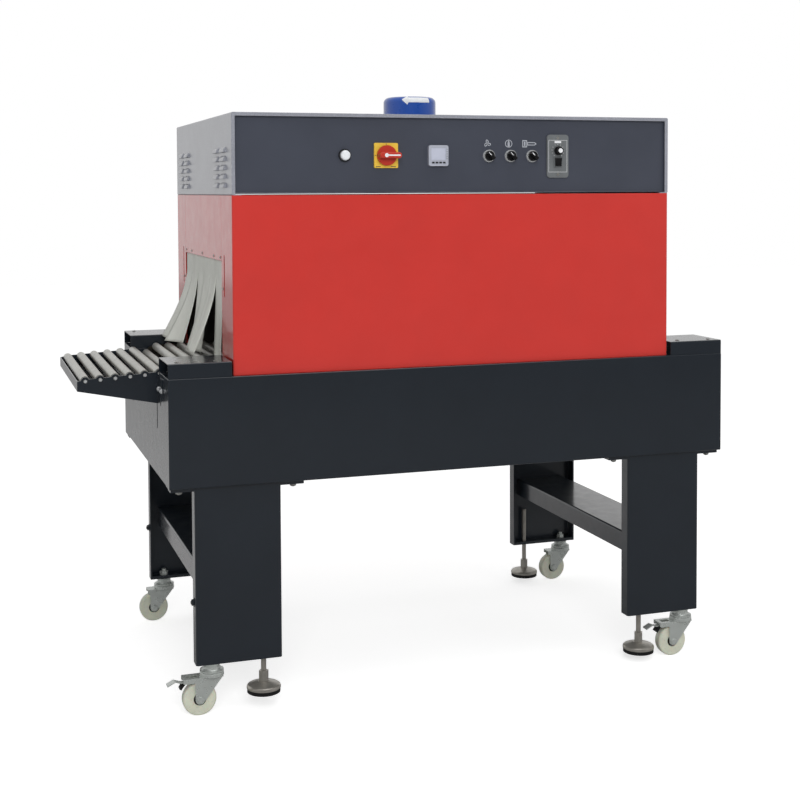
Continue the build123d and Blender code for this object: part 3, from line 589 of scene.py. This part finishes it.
class Shape(Plan):
    """A Geometry Nodes tree that sets one small shape at every point of a mesh.

    The points' own attribute "aim" turns the shape's axis.
    """

    def __init__(self, name, sizes):
        tree = bpy.data.node_groups.new(name, "GeometryNodeTree")
        tree.is_modifier = True
        self.inputs = {**sizes, "Finish": None}
        self.idents = {}
        tree.interface.new_socket("Geometry", in_out="INPUT", socket_type="NodeSocketGeometry")
        for label in self.inputs:
            kind = "NodeSocketMaterial" if label == "Finish" else "NodeSocketFloat"
            socket = tree.interface.new_socket(label, in_out="INPUT", socket_type=kind)
            self.idents[label] = socket.identifier
        tree.interface.new_socket("Geometry", in_out="OUTPUT", socket_type="NodeSocketGeometry")
        super().__init__(tree)
        self.given = self.add("NodeGroupInput")

    def size(self, label):
        return self.given.twin(label)

    def vector(self, x=0.0, y=0.0, z=0.0):
        return self.add("ShaderNodeCombineXYZ", {0: x, 1: y, 2: z})

    def cylinder(self, radius, depth, sides):
        values = {"Vertices": sides, "Radius": radius, "Depth": depth}
        return self.add("GeometryNodeMeshCylinder", values)

    def post(self, radius, tall, start, end, sides):
        """An upright cylinder between two shares of a height."""
        made = self.cylinder(radius, tall * (end - start), sides)
        return self.moved(made, self.vector(z=tall * ((start + end) / 2)))

    def bar(self, x, y, z, rise):
        """A box at a height."""
        made = self.add("GeometryNodeMeshCube", {"Size": self.vector(x, y, z)})
        return self.moved(made, self.vector(z=rise))

    def moved(self, shape, at, turn=(0, 0, 0)):
        values = {"Geometry": shape, "Translation": at, "Rotation": turn}
        return self.add("GeometryNodeTransform", values)

    def joined(self, *shapes):
        node = self.tree.nodes.new("GeometryNodeJoinGeometry")
        for shape in shapes:
            self.tree.links.new(shape.socket, node.inputs[0])
        return Wire(self, node.outputs[0])

    def set_at_points(self, shape, axis="Z", pivot="AUTO"):
        vector = {"data_type": "FLOAT_VECTOR"}
        aim = self.add("GeometryNodeInputNamedAttribute", {"Name": "aim"}, vector)
        axes = {"axis": axis, "pivot_axis": pivot}
        turn = self.add("FunctionNodeAlignRotationToVector", {"Vector": aim}, axes)
        values = {"Points": self.given.twin("Geometry"), "Instance": shape, "Rotation": turn}
        set_out = self.add("GeometryNodeInstanceOnPoints", values)
        real = self.add("GeometryNodeRealizeInstances", {"Geometry": set_out})
        done = self.add("GeometryNodeSetMaterial", {"Geometry": real, "Material": self.size("Finish")})
        self.add("NodeGroupOutput", {"Geometry": done})
        return self

    def stamp(self, name, places, finish, body="machine"):
        """Makes the plain mesh piece: places are pairs of a point and an aim."""
        marks = bpy.data.meshes.new(f"{name}_points")
        marks.from_pydata([place for place, aim in places], [], [])
        aims = marks.attributes.new("aim", "FLOAT_VECTOR", "POINT")
        aims.data.foreach_set("vector", [part for place, aim in places for part in aim])
        carrier = put(f"{name}_points", marks)
        nodes = carrier.modifiers.new("Repeat", "NODES")
        nodes.node_group = self.tree
        for label, value in {**self.inputs, "Finish": FINISHES[finish]}.items():
            nodes[self.idents[label]] = value
        bpy.context.view_layer.update()
        seen = carrier.evaluated_get(bpy.context.evaluated_depsgraph_get())
        mesh = bpy.data.meshes.new_from_object(seen)
        bpy.data.objects.remove(carrier)
        mesh.name = name
        bm = bmesh.new()
        bm.from_mesh(mesh)
        bpy.data.meshes.remove(mesh)
        bmesh.ops.remove_doubles(bm, verts=bm.verts, dist=0.001 * MM)
        return add_piece(name, closed_mesh(bm, name), finish, body)


def pan_screw(radius):
    """A domed screw head with a cross recess, its seat at the point."""
    shape = Shape("pan screw", {"Head Radius": radius, "Head Height": radius * 0.55})
    wide = shape.size("Head Radius")
    tall = shape.size("Head Height")
    seat = shape.post(wide, tall, 0, 0.5, 18)
    dome = shape.post(wide * 0.86, tall, 0, 1, 18)
    crown = shape.post(wide * 0.62, tall, 0, 1.12, 18)
    long = wide * 1.05
    thin = wide * 0.2
    deep = tall * 0.6
    rise = tall * 1.1
    recess = shape.joined(shape.bar(long, thin, deep, rise), shape.bar(thin, long, deep, rise))
    meshes = {"Mesh 1": shape.joined(seat, dome, crown), "Mesh 2": recess}
    return shape.set_at_points(shape.add("GeometryNodeMeshBoolean", meshes, {"operation": "DIFFERENCE"}))


def hex_bolt(radius):
    """A hexagon head on a plain washer, its seat at the point."""
    shape = Shape("hexagon bolt", {"Head Radius": radius, "Head Height": radius * 0.7})
    wide = shape.size("Head Radius")
    tall = shape.size("Head Height")
    washer = shape.post(wide * 1.35, tall, 0, 0.25, 24)
    head = shape.post(wide, tall, 0.2, 1.2, 6)
    stub = shape.post(wide * 0.5, tall, 1.15, 1.55, 12)
    return shape.set_at_points(shape.joined(washer, head, stub))


def tray_pin(radius):
    """A spring pin end that stands out of a side plate, its seat at the point."""
    shape = Shape("roller pin end", {"Pin Radius": radius, "Pin Length": radius * 1.1})
    wide = shape.size("Pin Radius")
    long = shape.size("Pin Length")
    collar = shape.post(wide, long, 0, 0.4, 20)
    pin = shape.post(wide * 0.7, long, 0, 1, 20)
    return shape.set_at_points(shape.joined(collar, pin))


def chain_link(pitch, inner, outer, tall, pin):
    """Two side plates and their bush, centred between two pins along X."""
    faces = {"Inner Face": inner, "Outer Face": outer}
    shape = Shape("chain link", {"Pitch": pitch, **faces, "Plate Height": tall, "Pin Radius": pin})
    height = shape.size("Plate Height")
    outer_face = shape.size("Outer Face")
    thick = outer_face - shape.size("Inner Face")
    lying_down = (pi / 2, 0, 0)
    sides = {"Width": shape.size("Pitch") + height, "Height": height}
    oblong_curve = shape.add("GeometryNodeCurvePrimitiveQuadrilateral", sides)
    corners = {"Curve": oblong_curve, "Count": 3, "Radius": height * 0.49}
    rounded = shape.add("GeometryNodeFilletCurve", corners, {"mode": "POLY"})
    face = shape.add("GeometryNodeFillCurve", {"Curve": rounded}, {"mode": "NGONS"})
    upright = shape.moved(face, shape.vector(), lying_down)
    pull = {"Mesh": upright, "Offset Scale": thick}
    pulled = shape.add("GeometryNodeExtrudeMesh", pull, {"mode": "FACES"})
    plate = shape.joined(pulled, shape.add("GeometryNodeFlipFaces", {"Mesh": upright}))
    near = shape.moved(plate, shape.vector(y=outer_face * -1 + thick))
    far = shape.moved(plate, shape.vector(y=outer_face))
    bush = shape.cylinder(shape.size("Pin Radius"), outer_face * 2, 8)
    lying = shape.moved(bush, shape.vector(x=shape.size("Pitch") * 0.5), lying_down)
    return shape.set_at_points(shape.joined(near, far, lying), axis="X", pivot="Y")


# Operators

class DressCabinet(bpy.types.Operator):
    """Paints the bed, chamber, hood, legs and braces, with softened sheet edges"""

    bl_idname = "tunnel.dress_cabinet"
    bl_label = "Cabinet"

    bed = ("bed_front_side", "bed_back_side", "bed_ends", "rail_covers_left", "rail_covers_right")
    chamber = ("chamber_front_wall", "chamber_back_wall", "tunnel_headers")

    def execute(self, context):
        for node in (*self.bed, *LEGS, "leg_braces"):
            sheet_copy(node, "slate")
        for node in self.chamber:
            sheet_copy(node, "red")
        sheet_copy("hood_shell", "hood")
        for node in ("control_panel", "hood_back_panel"):
            sheet_copy(node, "panel")
        dress("liner", "tunnel_liner")
        dress("blue", "fan_motor_cowl")
        return {"FINISHED"}


class AddScrews(bpy.types.Operator):
    """Sets the screws and bolts that hold the sheets"""

    bl_idname = "tunnel.add_screws"
    bl_label = "Screws"

    def execute(self, context):
        sizes = settings("tunnel_sheetwork")
        pan, small, smaller = [pan_screw(sizes.screw * share) for share in (1, 0.75, 0.7)]
        bolt, small_bolt = [hex_bolt(sizes.bolt * share) for share in (1, 0.6)]
        small.stamp("header_screws", self.on_headers(), "screw")
        pan.stamp("rail_screws", self.on_rail_covers(), "screw")
        smaller.stamp("back_panel_screws", self.on_back_panel(), "screw")
        small.stamp("cowl_screws", self.round_cowl(), "screw")
        bolt.stamp("leg_bolts", self.under_bed(), "screw")
        bolt.stamp("brace_bolts", self.on_left_legs(), "slate")
        small_bolt.stamp("tray_bolts", self.beside_tray(), "chrome")
        small.stamp("speed_plate_screws", self.on_speed_plate(), "screw")
        return {"FINISHED"}

    def on_headers(self):
        """A line over each opening, and one screw level with each slot."""
        lowest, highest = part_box("tunnel_headers")
        spots = [(y * MM, lowest.z + 8 * MM) for y in (-232, -151, 0, 151, 232)]
        spots += [(y * MM, 940 * MM) for y in (-262, 262)]
        sides = ((lowest.x, TO_INFEED), (highest.x, TO_OUTFEED))
        return [((x, y, z), aim) for x, aim in sides for y, z in spots]

    def on_rail_covers(self):
        places = []
        for end, outer, inner in (("left", 0, 1), ("right", 1, 0)):
            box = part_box(f"rail_covers_{end}")
            for share in (0.16, 0.77):
                x = box[outer].x + share * (box[inner].x - box[outer].x)
                places += [((x, y * MM, box[1].z), UP) for y in (-355, 355)]
        return places

    def on_back_panel(self):
        """Six along the lower and six along the upper edge."""
        lowest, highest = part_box("hood_back_panel")
        rim = 16 * MM
        face = highest.y - 5 * MM
        step = (highest.x - lowest.x - 2 * rim) / 5
        columns = [lowest.x + rim + k * step for k in range(6)]
        return [((x, face, z), TO_BACK) for x in columns for z in (lowest.z + rim, highest.z - rim)]

    def round_cowl(self):
        lowest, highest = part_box("fan_motor_cowl")
        middle = centre("fan_motor_cowl")
        flange = lowest.z + 3 * MM
        radius = (highest.x - lowest.x) / 2 - 5.5 * MM
        turns = [radians(60 * k + 30) for k in range(6)]
        return [((middle.x + radius * cos(a), middle.y + radius * sin(a), flange), UP) for a in turns]

    def under_bed(self):
        """Two in the ears of each leg, heads down."""
        reach = 129 * MM
        ear = 8 * MM
        places = []
        for leg in LEGS:
            middle = centre(leg)
            places += [((middle.x + x, middle.y, high(leg).z - ear), DOWN) for x in (-reach, reach)]
        return places

    def on_left_legs(self):
        """One where the brace meets each left leg."""
        leg_half = 97.5 * MM
        legs = [centre(f"leg_{row}_left") for row in ROWS]
        return [((leg.x - leg_half, leg.y, 253 * MM), TO_INFEED) for leg in legs]

    def beside_tray(self):
        face = low("bed_ends").x - 2 * MM
        return [((face, y * MM, 718 * MM), TO_INFEED) for y in (-300, -257, 257, 300)]

    def on_speed_plate(self):
        lowest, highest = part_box("speed_controller_plate")
        rim = 8 * MM
        x = centre("speed_controller_plate").x
        face = highest.y - SPEED_PLATE
        return [((x, face, z), TO_FRONT) for z in (lowest.z + rim, highest.z - rim)]


class MakeConveyor(bpy.types.Operator):
    """Makes the chains from links and finishes the rollers and shafts"""

    bl_idname = "tunnel.make_conveyor"
    bl_label = "Conveyor"

    def execute(self, context):
        dress("tube", "conveyor_rollers")
        dress("chain", "conveyor_shafts")
        loop_low, loop_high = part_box("conveyor_chains")
        band = 12 * MM
        half = 3.5 * MM
        plate = 1.1 * MM
        inner_bush = 2.6 * MM
        outer_bush = 2.0 * MM
        nominal_pitch = 15.875 * MM
        radius = (loop_high.z - loop_low.z - band) / 2
        run = loop_high.x - loop_low.x - band - 2 * radius
        middle = Vector(((loop_low.x + loop_high.x) / 2, 0, (loop_low.z + loop_high.z) / 2))
        whole = 2 * run + 2 * pi * radius
        count = 2 * round(whole / (2 * nominal_pitch))
        pitch = whole / count
        pins = [self.on_loop(pitch * k, run, radius) for k in range(count)]
        links = ([], [])
        for k in range(count):
            here = pins[k]
            there = pins[(k + 1) % count]
            for y in (loop_low.y + half, loop_high.y - half):
                spot = (here + there) / 2 + middle + Vector((0, y, 0))
                links[k % 2].append((spot, (there - here).normalized()))
        tall = band * 0.8
        inner = chain_link(pitch, half - 2 * plate, half - plate, tall, inner_bush)
        outer = chain_link(pitch, half - plate, half, tall, outer_bush)
        first = inner.stamp("chain_inner_links", links[0], "chain")
        second = outer.stamp("chain_outer_links", links[1], "chain")
        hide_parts("conveyor_chains")
        return {"FINISHED"}

    def on_loop(self, way, run, radius):
        """The point after a way along the stadium-shaped loop, about its middle."""
        half = run + pi * radius
        side = 1 if way < half else -1
        way %= half
        turn = max(0.0, way - run) / radius
        x = min(way, run) - run / 2 + radius * sin(turn)
        return side * Vector((x, 0, radius * cos(turn)))


class MakeTray(bpy.types.Operator):
    """Finishes the infeed tray, its rollers and their pins"""

    bl_idname = "tunnel.make_tray"
    bl_label = "Infeed tray"

    def execute(self, context):
        sheet_copy("tray_frame", "slate")
        pin = tray_pin(3.4 * MM)
        for k in TRAY_ROLLERS:
            roller = f"tray_roller_{k}"
            dress("tube", roller)
            axle = centre(roller)
            sides = ((low(roller).y, TO_FRONT), (high(roller).y, TO_BACK))
            places = [((axle.x, y, axle.z), aim) for y, aim in sides]
            pin.stamp(f"tray_pins_{k}", places, "chrome", roller)
        self.pan()
        return {"FINISHED"}

    def pan(self):
        """The bottom sheet between the side plates, which closes the gaps to view."""
        first = centre("tray_roller_1")
        last = centre("tray_roller_6")
        drop = 17 * MM
        sheet = 1 * MM
        half = high("tray_roller_1").y - 6 * MM
        start = (low("tray_frame").x + 4 * MM, first.z - drop)
        end = (last.x + 12 * MM, last.z - drop)
        section = [start, end, (end[0], end[1] - sheet), (start[0], start[1] - sheet)]
        add_plates("tray_pan", [section], half, 2 * half, "slate")


class HangCurtains(bpy.types.Operator):
    """Hangs the slit curtains, with the strips swung outwards as goods leave them"""

    bl_idname = "tunnel.hang_curtains"
    bl_label = "Strip curtains"

    # For each strip: how far it leans out and turns, in radians, and how far it sways, in millimetres
    lean = (0.42, 0.34, 0.17, 0.20, 0.36, 0.03)
    twist = (-0.10, -0.45, 0.15, -0.30, 0.00, 0.00)
    sway = (6.0, 3.0, 0.0, -2.0, 3.0, -3.0)

    band_rows = 4
    strip_rows = 26
    strip_columns = 8

    def execute(self, context):
        for node, out in (("curtain_left", -1), ("curtain_right", 1)):
            self.hang(node, out)
        return {"FINISHED"}

    def hang(self, node, out):
        sizes = settings("tunnel_curtain")
        node_low, node_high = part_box(node)
        width = node_high.y - node_low.y
        face = (node_high.x if out < 0 else node_low.x) + out * MM
        strips = len(self.lean)
        bm = bmesh.new()
        flat = bm.loops.layers.uv.new("flat")
        place_in_cloth = {}

        def row(points):
            """Vertices from (outwards, across, down, u, v), counted from the upper corner."""
            line = []
            for ahead, across, below, u, v in points:
                line.append(bm.verts.new((face + out * ahead, node_high.y - across, node_high.z - below)))
                place_in_cloth[line[-1]] = (u, v)
            return line

        band = [row(points) for points in self.band(width, strips * self.strip_columns, sizes)]
        grids = [band]
        for k in range(strips):
            first = k * self.strip_columns
            joint = band[-1][first:first + self.strip_columns + 1]
            grids.append([joint] + [row(points) for points in self.strip(k, width / strips, sizes)])
        for grid in grids:
            join_rows(bm, grid)
        for cell in bm.faces:
            cell.smooth = True
            for corner in cell.loops:
                corner[flat].uv = place_in_cloth[corner.vert]
        if out < 0:
            bmesh.ops.reverse_faces(bm, faces=bm.faces)
        name = f"{node}_cloth"
        piece = add_piece(name, mesh_of(bm, name), "cloth")
        thicken(piece, sizes.thickness)
        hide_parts(node)

    def band(self, width, columns, sizes):
        """Rows of the uncut part, which ripples a little towards the slits."""
        depth = 1.2 * MM
        waves = 55
        rows = []
        for r in range(self.band_rows + 1):
            share = r / self.band_rows
            v = sizes.band * share
            steps = [width * c / columns for c in range(columns + 1)]
            rows.append([(depth * sin(u * waves) * share, u, v, u, v) for u in steps])
        return rows

    def strip(self, k, width, sizes):
        """Rows of one strip below the band: it keeps its length while it leans out, twists and sways."""
        hanging = sizes.drop - sizes.band
        step = hanging / self.strip_rows
        middle = (k + 0.5) * width
        ahead = 0.0
        below = sizes.band
        rows = []
        for r in range(1, self.strip_rows + 1):
            share = r / self.strip_rows
            lean = self.lean[k] * 2.1 * (share ** 0.8) * (1 - 0.45 * share)
            ahead += sin(lean) * step
            below += cos(lean) * step
            turn = self.twist[k] * share ** 1.6
            sway = self.sway[k] * MM * share ** 1.5
            bow = 5 * MM * share * (1 if k % 2 else -1)
            row = []
            for c in range(self.strip_columns + 1):
                offset = (c / self.strip_columns - 0.5) * width
                curl = bow * ((2 * offset / width) ** 2 - 0.4)
                place = (ahead + offset * sin(turn) + curl, middle + offset * cos(turn) - sway, below)
                row.append((*place, middle + offset, sizes.band + hanging * share))
            rows.append(row)
        return rows


class MakeControls(bpy.types.Operator):
    """Finishes the controls and adds their screens, keys, marks and pictograms"""

    bl_idname = "tunnel.make_controls"
    bl_label = "Controls"

    print_depth = 0.3 * MM
    film_depth = 0.2 * MM

    def execute(self, context):
        dress("lamp", "pilot_lamp")
        dress("yellow", "main_switch_plate")
        dress("red_plastic", "main_switch_handle")
        dress("grey", "temperature_controller")
        dress("chrome", "selector_bezels")
        dress("brushed", "speed_controller_plate")
        dress("black", "speed_knob", "rocker_switch", *[f"selector_knob_{k}" for k in SELECTORS])
        self.controller_face()
        self.switch_marks()
        self.knob_marks()
        self.speed_marks()
        self.pictograms()
        return {"FINISHED"}

    def controller_face(self):
        """Screen, keys and side marks of the temperature controller."""
        middle = centre("temperature_controller")
        front = low("temperature_controller").y
        recess = 1.5 * MM
        level = 4
        glass = oblong(middle, 0, level, 35.6, 27.6)
        add_plates("controller_screen", [glass], front + recess, 0.4 * MM, "screen")
        keys = [oblong(middle, (k - 1.5) * 9, -16, 6, 3.6) for k in range(4)]
        add_plates("controller_keys", keys, front, 0.8 * MM, "black")
        dots = [ring(middle, 20.8, level + (k - 2) * 5.4, 0.8, 10) for k in range(5)]
        add_plates("controller_dots", dots, front, self.print_depth, "faint_dark")

    def switch_marks(self):
        """White dot and pointer on the main switch handle, and ticks on its plate."""
        plate = centre("main_switch_plate")
        pointer = [ring(plate, -7, 0, 4.6, 20), oblong(plate, 12, 0, 28, 3.2)]
        handle = "main_switch_handle"
        add_plates("switch_pointer", pointer, low(handle).y, self.print_depth, "white", handle)
        spots = ((0, 25.5, 1.4, 3.4), (-25.5, 0, 3.4, 1.4), (-19, -25.5, 12, 1.6), (17, -25.5, 12, 1.6))
        ticks = [oblong(plate, *spot) for spot in spots]
        add_plates("switch_plate_ticks", ticks, low("main_switch_plate").y, self.film_depth, "faint_dark")

    def knob_marks(self):
        """A bright ring round each selector and a white index on its grip."""
        rings = []
        for k in SELECTORS:
            knob = f"selector_knob_{k}"
            middle = centre(knob)
            rings.append((ring(middle, 0, 0, 14.2, 36), ring(middle, 0, 0, 11.8, 36)))
            index = ring(middle, -4.6, 4.6, 5.2, 16, 0.17, radians(135))
            add_plates(f"selector_index_{k}", [index], low(knob).y, self.print_depth, "white", knob)
        add_plates("selector_rings", rings, low("selector_bezels").y, self.film_depth, "chrome")

    def speed_marks(self):
        """Frame line, scale ticks and white cap of the speed controller."""
        plate = centre("speed_controller_plate")
        knob = centre("speed_knob")
        face = high("speed_controller_plate").y - SPEED_PLATE
        marks = [(oblong(plate, 0, 0, 48, 76), oblong(plate, 0, 0, 46.6, 74.6))]
        reach = 15
        first = 230
        step = 28
        for k in range(11):
            turn = radians(first - step * k)
            marks.append(ring(knob, reach * cos(turn), reach * sin(turn), 1.5, 8, 0.3, turn))
        add_plates("speed_plate_scale", marks, face, self.film_depth, "white")
        over_knob = Vector((plate.x, plate.y, knob.z))
        patch = oblong(over_knob, 0, 20.5, 17, 5)
        add_plates("speed_plate_patch", [patch], face, 0.25 * MM, "white")
        cap = ring(knob, 0, 0, 5.4, 24)
        add_plates("speed_knob_cap", [cap], low("speed_knob").y, 0.6 * MM, "white", "speed_knob")

    def pictograms(self):
        """Fan, needle dial and heater signs over the selectors."""
        over = [centre(f"selector_knob_{k}") + Vector((0, 0, 29 * MM)) for k in SELECTORS]
        fan, dial, heater = [spot - Vector((x * MM, 0, 0)) for spot, x in zip(over, (3, 4, 18))]
        signs = []
        for k in range(3):
            turn = radians(95 + 120 * k)
            petal = ring(fan, 4.8 * cos(turn), 4.8 * sin(turn), 4.6, 20, 0.72, turn + 0.5)
            signs.append((petal, drawn_in(petal, 0.5)))
        signs.append(ring(fan, 0, 0, 2.2, 16))
        rim = ring(dial, 0, 0, 9.2, 32)
        signs.append((rim, drawn_in(rim, 0.82)))
        needle = ((-2.7, -8), (2.7, -8), (2.7, 1), (1.4, 6.5), (0, 11.5), (-1.4, 6.5), (-2.7, 1))
        signs.append(outline(dial, needle))
        box = oblong(heater, 0, 0, 12, 17)
        signs.append((box, drawn_in(box, 0.72)))
        signs.append(oblong(heater, 0, 0, 4, 10))
        bar = ((6.4, -3.8), (26, -3.8), (30.5, 0), (26, 3.8), (6.4, 3.8))
        slot = ((8.2, -1.8), (25, -1.8), (27.4, 0), (25, 1.8), (8.2, 1.8))
        signs.append((outline(heater, bar), outline(heater, slot)))
        add_plates("pictograms", signs, high("pilot_lamp").y, self.film_depth, "faint")


class MarkCowl(bpy.types.Operator):
    """Puts the turning arrow on the fan motor cowl"""

    bl_idname = "tunnel.mark_cowl"
    bl_label = "Cowl arrow"

    # Where the arrow starts, widens and ends, in degrees round the cowl
    tail = 29.0
    neck = -23.0
    tip = -36.0

    columns = 26
    rows = 6

    def execute(self, context):
        middle = centre("fan_motor_cowl")
        radius = 67 * MM
        round_edge = 14 * MM
        round_start = high("fan_motor_cowl").z - round_edge
        clear = 0.25 * MM
        shaft = 7.0 * MM
        head = 13.5 * MM
        blunt = 0.05 * MM
        rise = 5.5 * MM
        bm = bmesh.new()
        grid = []
        for c in range(self.columns + 1):
            turn = self.tail + (self.tip - self.tail) * c / self.columns
            half = shaft
            if turn <= self.neck:
                half = head * (turn - self.tip) / (self.neck - self.tip) + blunt
            angle = radians(turn)
            line = []
            for r in range(self.rows + 1):
                way = rise + half * (2 * r / self.rows - 1)
                bend = max(0.0, way) / round_edge
                out = radius - round_edge * (1 - cos(bend)) + clear * cos(bend)
                z = round_start + min(0.0, way) + (round_edge + clear) * sin(bend)
                line.append(bm.verts.new((middle.x + out * sin(angle), middle.y - out * cos(angle), z)))
            grid.append(line)
        join_rows(bm, grid)
        arrow = add_piece("cowl_arrow", closed_mesh(bm, "cowl_arrow", 60), "white")
        thicken(arrow, 0.4 * MM)
        return {"FINISHED"}


class DressCasters(bpy.types.Operator):
    """Finishes the casters, brake levers and levelling feet"""

    bl_idname = "tunnel.dress_casters"
    bl_label = "Casters and feet"

    def execute(self, context):
        dress("zinc", "caster_stems")
        nylon = screen_colour(settings("tunnel_colours").nylon)
        pocket = 14 * MM
        pad = 9 * MM
        for row in ROWS:
            for end in ENDS:
                wheel = f"caster_wheel_{row}_{end}"
                foot = f"levelling_foot_{row}_{end}"
                FINISHES[wheel] = nylon_finish(f"cast nylon {row} {end}", nylon, centre(wheel), pocket)
                FINISHES[foot] = foot_finish(f"zinc foot {row} {end}", low(foot).z + pad)
                dress("zinc", f"caster_fork_{row}_{end}")
                dress(wheel, wheel)
                dress(foot, foot)
        for end in ENDS:
            dress("zinc", f"brake_lever_{end}")
            self.brake_shoe(end)
        return {"FINISHED"}

    def brake_shoe(self, end):
        """A rubber shoe under the brake lever, curved round the back of the wheel."""
        name = f"brake_shoe_{end}"
        hub = centre(f"caster_wheel_front_{end}")
        inner = 46.5
        outer = 51.5
        half = 9 * MM
        arc = [radians(30 + 22 * k / 8) for k in range(9)]
        shoe = [(-outer * cos(turn), outer * sin(turn)) for turn in arc]
        shoe += [(-inner * cos(turn), inner * sin(turn)) for turn in reversed(arc)]
        web = ((-36, 38), (-42, 38), (-42, 27), (-37, 30))
        bm = bmesh.new()
        slab(bm, outline(hub, shoe), hub.y + half, 2 * half)
        slab(bm, outline(hub, web), hub.y + half / 2, half)
        add_piece(name, closed_mesh(bm, name, turn_out=True), "rubber", f"brake_lever_{end}")


class SetStage(bpy.types.Operator):
    """Sets the floor, the lights and the camera"""

    bl_idname = "tunnel.set_stage"
    bl_label = "Studio"

    # Soft boxes: name, place, width and power. The key is high in front and the fill is at the right
    boxes = (
        ("key", (-1.0, -4.6, 3.0), 2.4, 92.0),
        ("fill", (3.6, -3.6, 1.6), 2.4, 18.0),
        ("top", (0.3, -0.6, 4.2), 2.6, 30.0),
    )
    aim_at = Vector((0.0, 0.0, 0.75))

    def execute(self, context):
        self.floor()
        self.world(context)
        self.lights()
        self.camera(context)
        context.scene.view_settings.view_transform = "Standard"
        return {"FINISHED"}

    def floor(self):
        """A wide floor, white to the camera, that darkens in what the front faces mirror."""
        bm = bmesh.new()
        bmesh.ops.create_grid(bm, x_segments=1, y_segments=1, size=14)
        floor = put("floor", mesh_of(bm, "floor"))
        finish = Finish("pale floor")
        camera_sees = finish.add("ShaderNodeLightPath", output="Is Camera Ray")
        pale = finish.add("ShaderNodeBsdfDiffuse", {"Color": grey(0.86)})
        dim = finish.add("ShaderNodeBsdfDiffuse", {"Color": grey(0.22)})
        in_front = finish.along("Y").between(0.6, -0.6) * camera_sees.twin("Is Glossy Ray")
        seen = finish.add("ShaderNodeMixShader", {0: in_front, 1: pale, 2: dim})
        white = {"Color": grey(1), "Strength": camera_sees * 0.66}
        glow = finish.add("ShaderNodeEmission", white)
        both = finish.add("ShaderNodeAddShader", {0: seen, 1: glow})
        finish.add("ShaderNodeOutputMaterial", {"Surface": both})
        floor.data.materials.append(finish.material)

    def world(self, context):
        """White to the camera, even daylight to matt faces, and darker in front to glossy ones."""
        world = bpy.data.worlds.new("studio")
        world.use_nodes = True
        context.scene.world = world
        plan = Plan(world.node_tree)
        world.node_tree.nodes.clear()
        camera_sees = plan.add("ShaderNodeLightPath", output="Is Camera Ray")
        glossy = camera_sees.twin("Is Glossy Ray")
        mirrored = glossy.maths("MAXIMUM", camera_sees.twin("Is Transmission Ray"))
        ray = plan.add("ShaderNodeTexCoord", output="Generated")
        deep = plan.add("ShaderNodeSeparateXYZ", {0: ray}, output="Y")
        in_gloss = deep.between(-0.9, -0.3) * 0.3 + deep.between(-0.1, 0.8) * 0.35 + 0.08
        daylight = settings("tunnel_studio").daylight
        unseen = mirrored * in_gloss + (1 - mirrored) * daylight
        strength = camera_sees + (1 - camera_sees) * unseen
        back = plan.add("ShaderNodeBackground", {"Color": grey(1), "Strength": strength})
        plan.add("ShaderNodeOutputWorld", {"Surface": back})

    def lights(self):
        for name, place, size, power in self.boxes:
            lamp = bpy.data.lights.new(name, "AREA")
            lamp.size = size
            lamp.energy = power
            holder = put(name, lamp)
            holder.location = place
            holder.rotation_mode = "QUATERNION"
            holder.rotation_quaternion = (self.aim_at - Vector(place)).to_track_quat("-Z", "Y")
            holder.visible_glossy = name == "top"

    def camera(self, context):
        studio = settings("tunnel_studio")
        data = bpy.data.cameras.new("camera")
        data.sensor_width = 36
        data.lens = studio.lens
        data.shift_y = studio.rise
        data.clip_end = 60
        holder = put("camera", data)
        turned = Matrix.Rotation(-studio.yaw, 4, "Z") @ Matrix.Rotation(pi / 2 - studio.pitch, 4, "X")
        turned = turned @ Matrix.Rotation(studio.roll, 4, "Z")
        holder.matrix_world = Matrix.Translation(studio.place) @ turned
        context.scene.camera = holder


class TUNNEL_PT_pieces(bpy.types.Panel):
    """Lists the tunnel's piece makers"""

    bl_label = "Heat shrink tunnel"
    bl_idname = "TUNNEL_PT_pieces"
    bl_space_type = "VIEW_3D"
    bl_region_type = "UI"
    bl_category = "Tunnel"

    def draw(self, context):
        for group in GROUPS:
            for name in GROUPS[group].__annotations__:
                self.layout.prop(getattr(context.scene, group), name)
        for maker in MAKERS:
            self.layout.operator(maker.bl_idname)


GROUPS = {
    "tunnel_colours": TunnelColours,
    "tunnel_sheetwork": TunnelSheetwork,
    "tunnel_curtain": TunnelCurtain,
    "tunnel_studio": TunnelStudio,
}
MAKERS = (
    DressCabinet, AddScrews, MakeConveyor, MakeTray, HangCurtains,
    MakeControls, MarkCowl, DressCasters, SetStage,
)


def register():
    for name, group in GROUPS.items():
        bpy.utils.register_class(group)
        setattr(bpy.types.Scene, name, bpy.props.PointerProperty(type=group))
    for maker in (*MAKERS, TUNNEL_PT_pieces):
        bpy.utils.register_class(maker)


def unregister():
    for maker in (*MAKERS, TUNNEL_PT_pieces):
        bpy.utils.unregister_class(maker)
    for name, group in GROUPS.items():
        delattr(bpy.types.Scene, name)
        bpy.utils.unregister_class(group)


def main():
    register()
    make_finishes()
    for maker in MAKERS:
        group, name = maker.bl_idname.split(".")
        getattr(getattr(bpy.ops, group), name)()


if __name__ == "__main__":
    main()
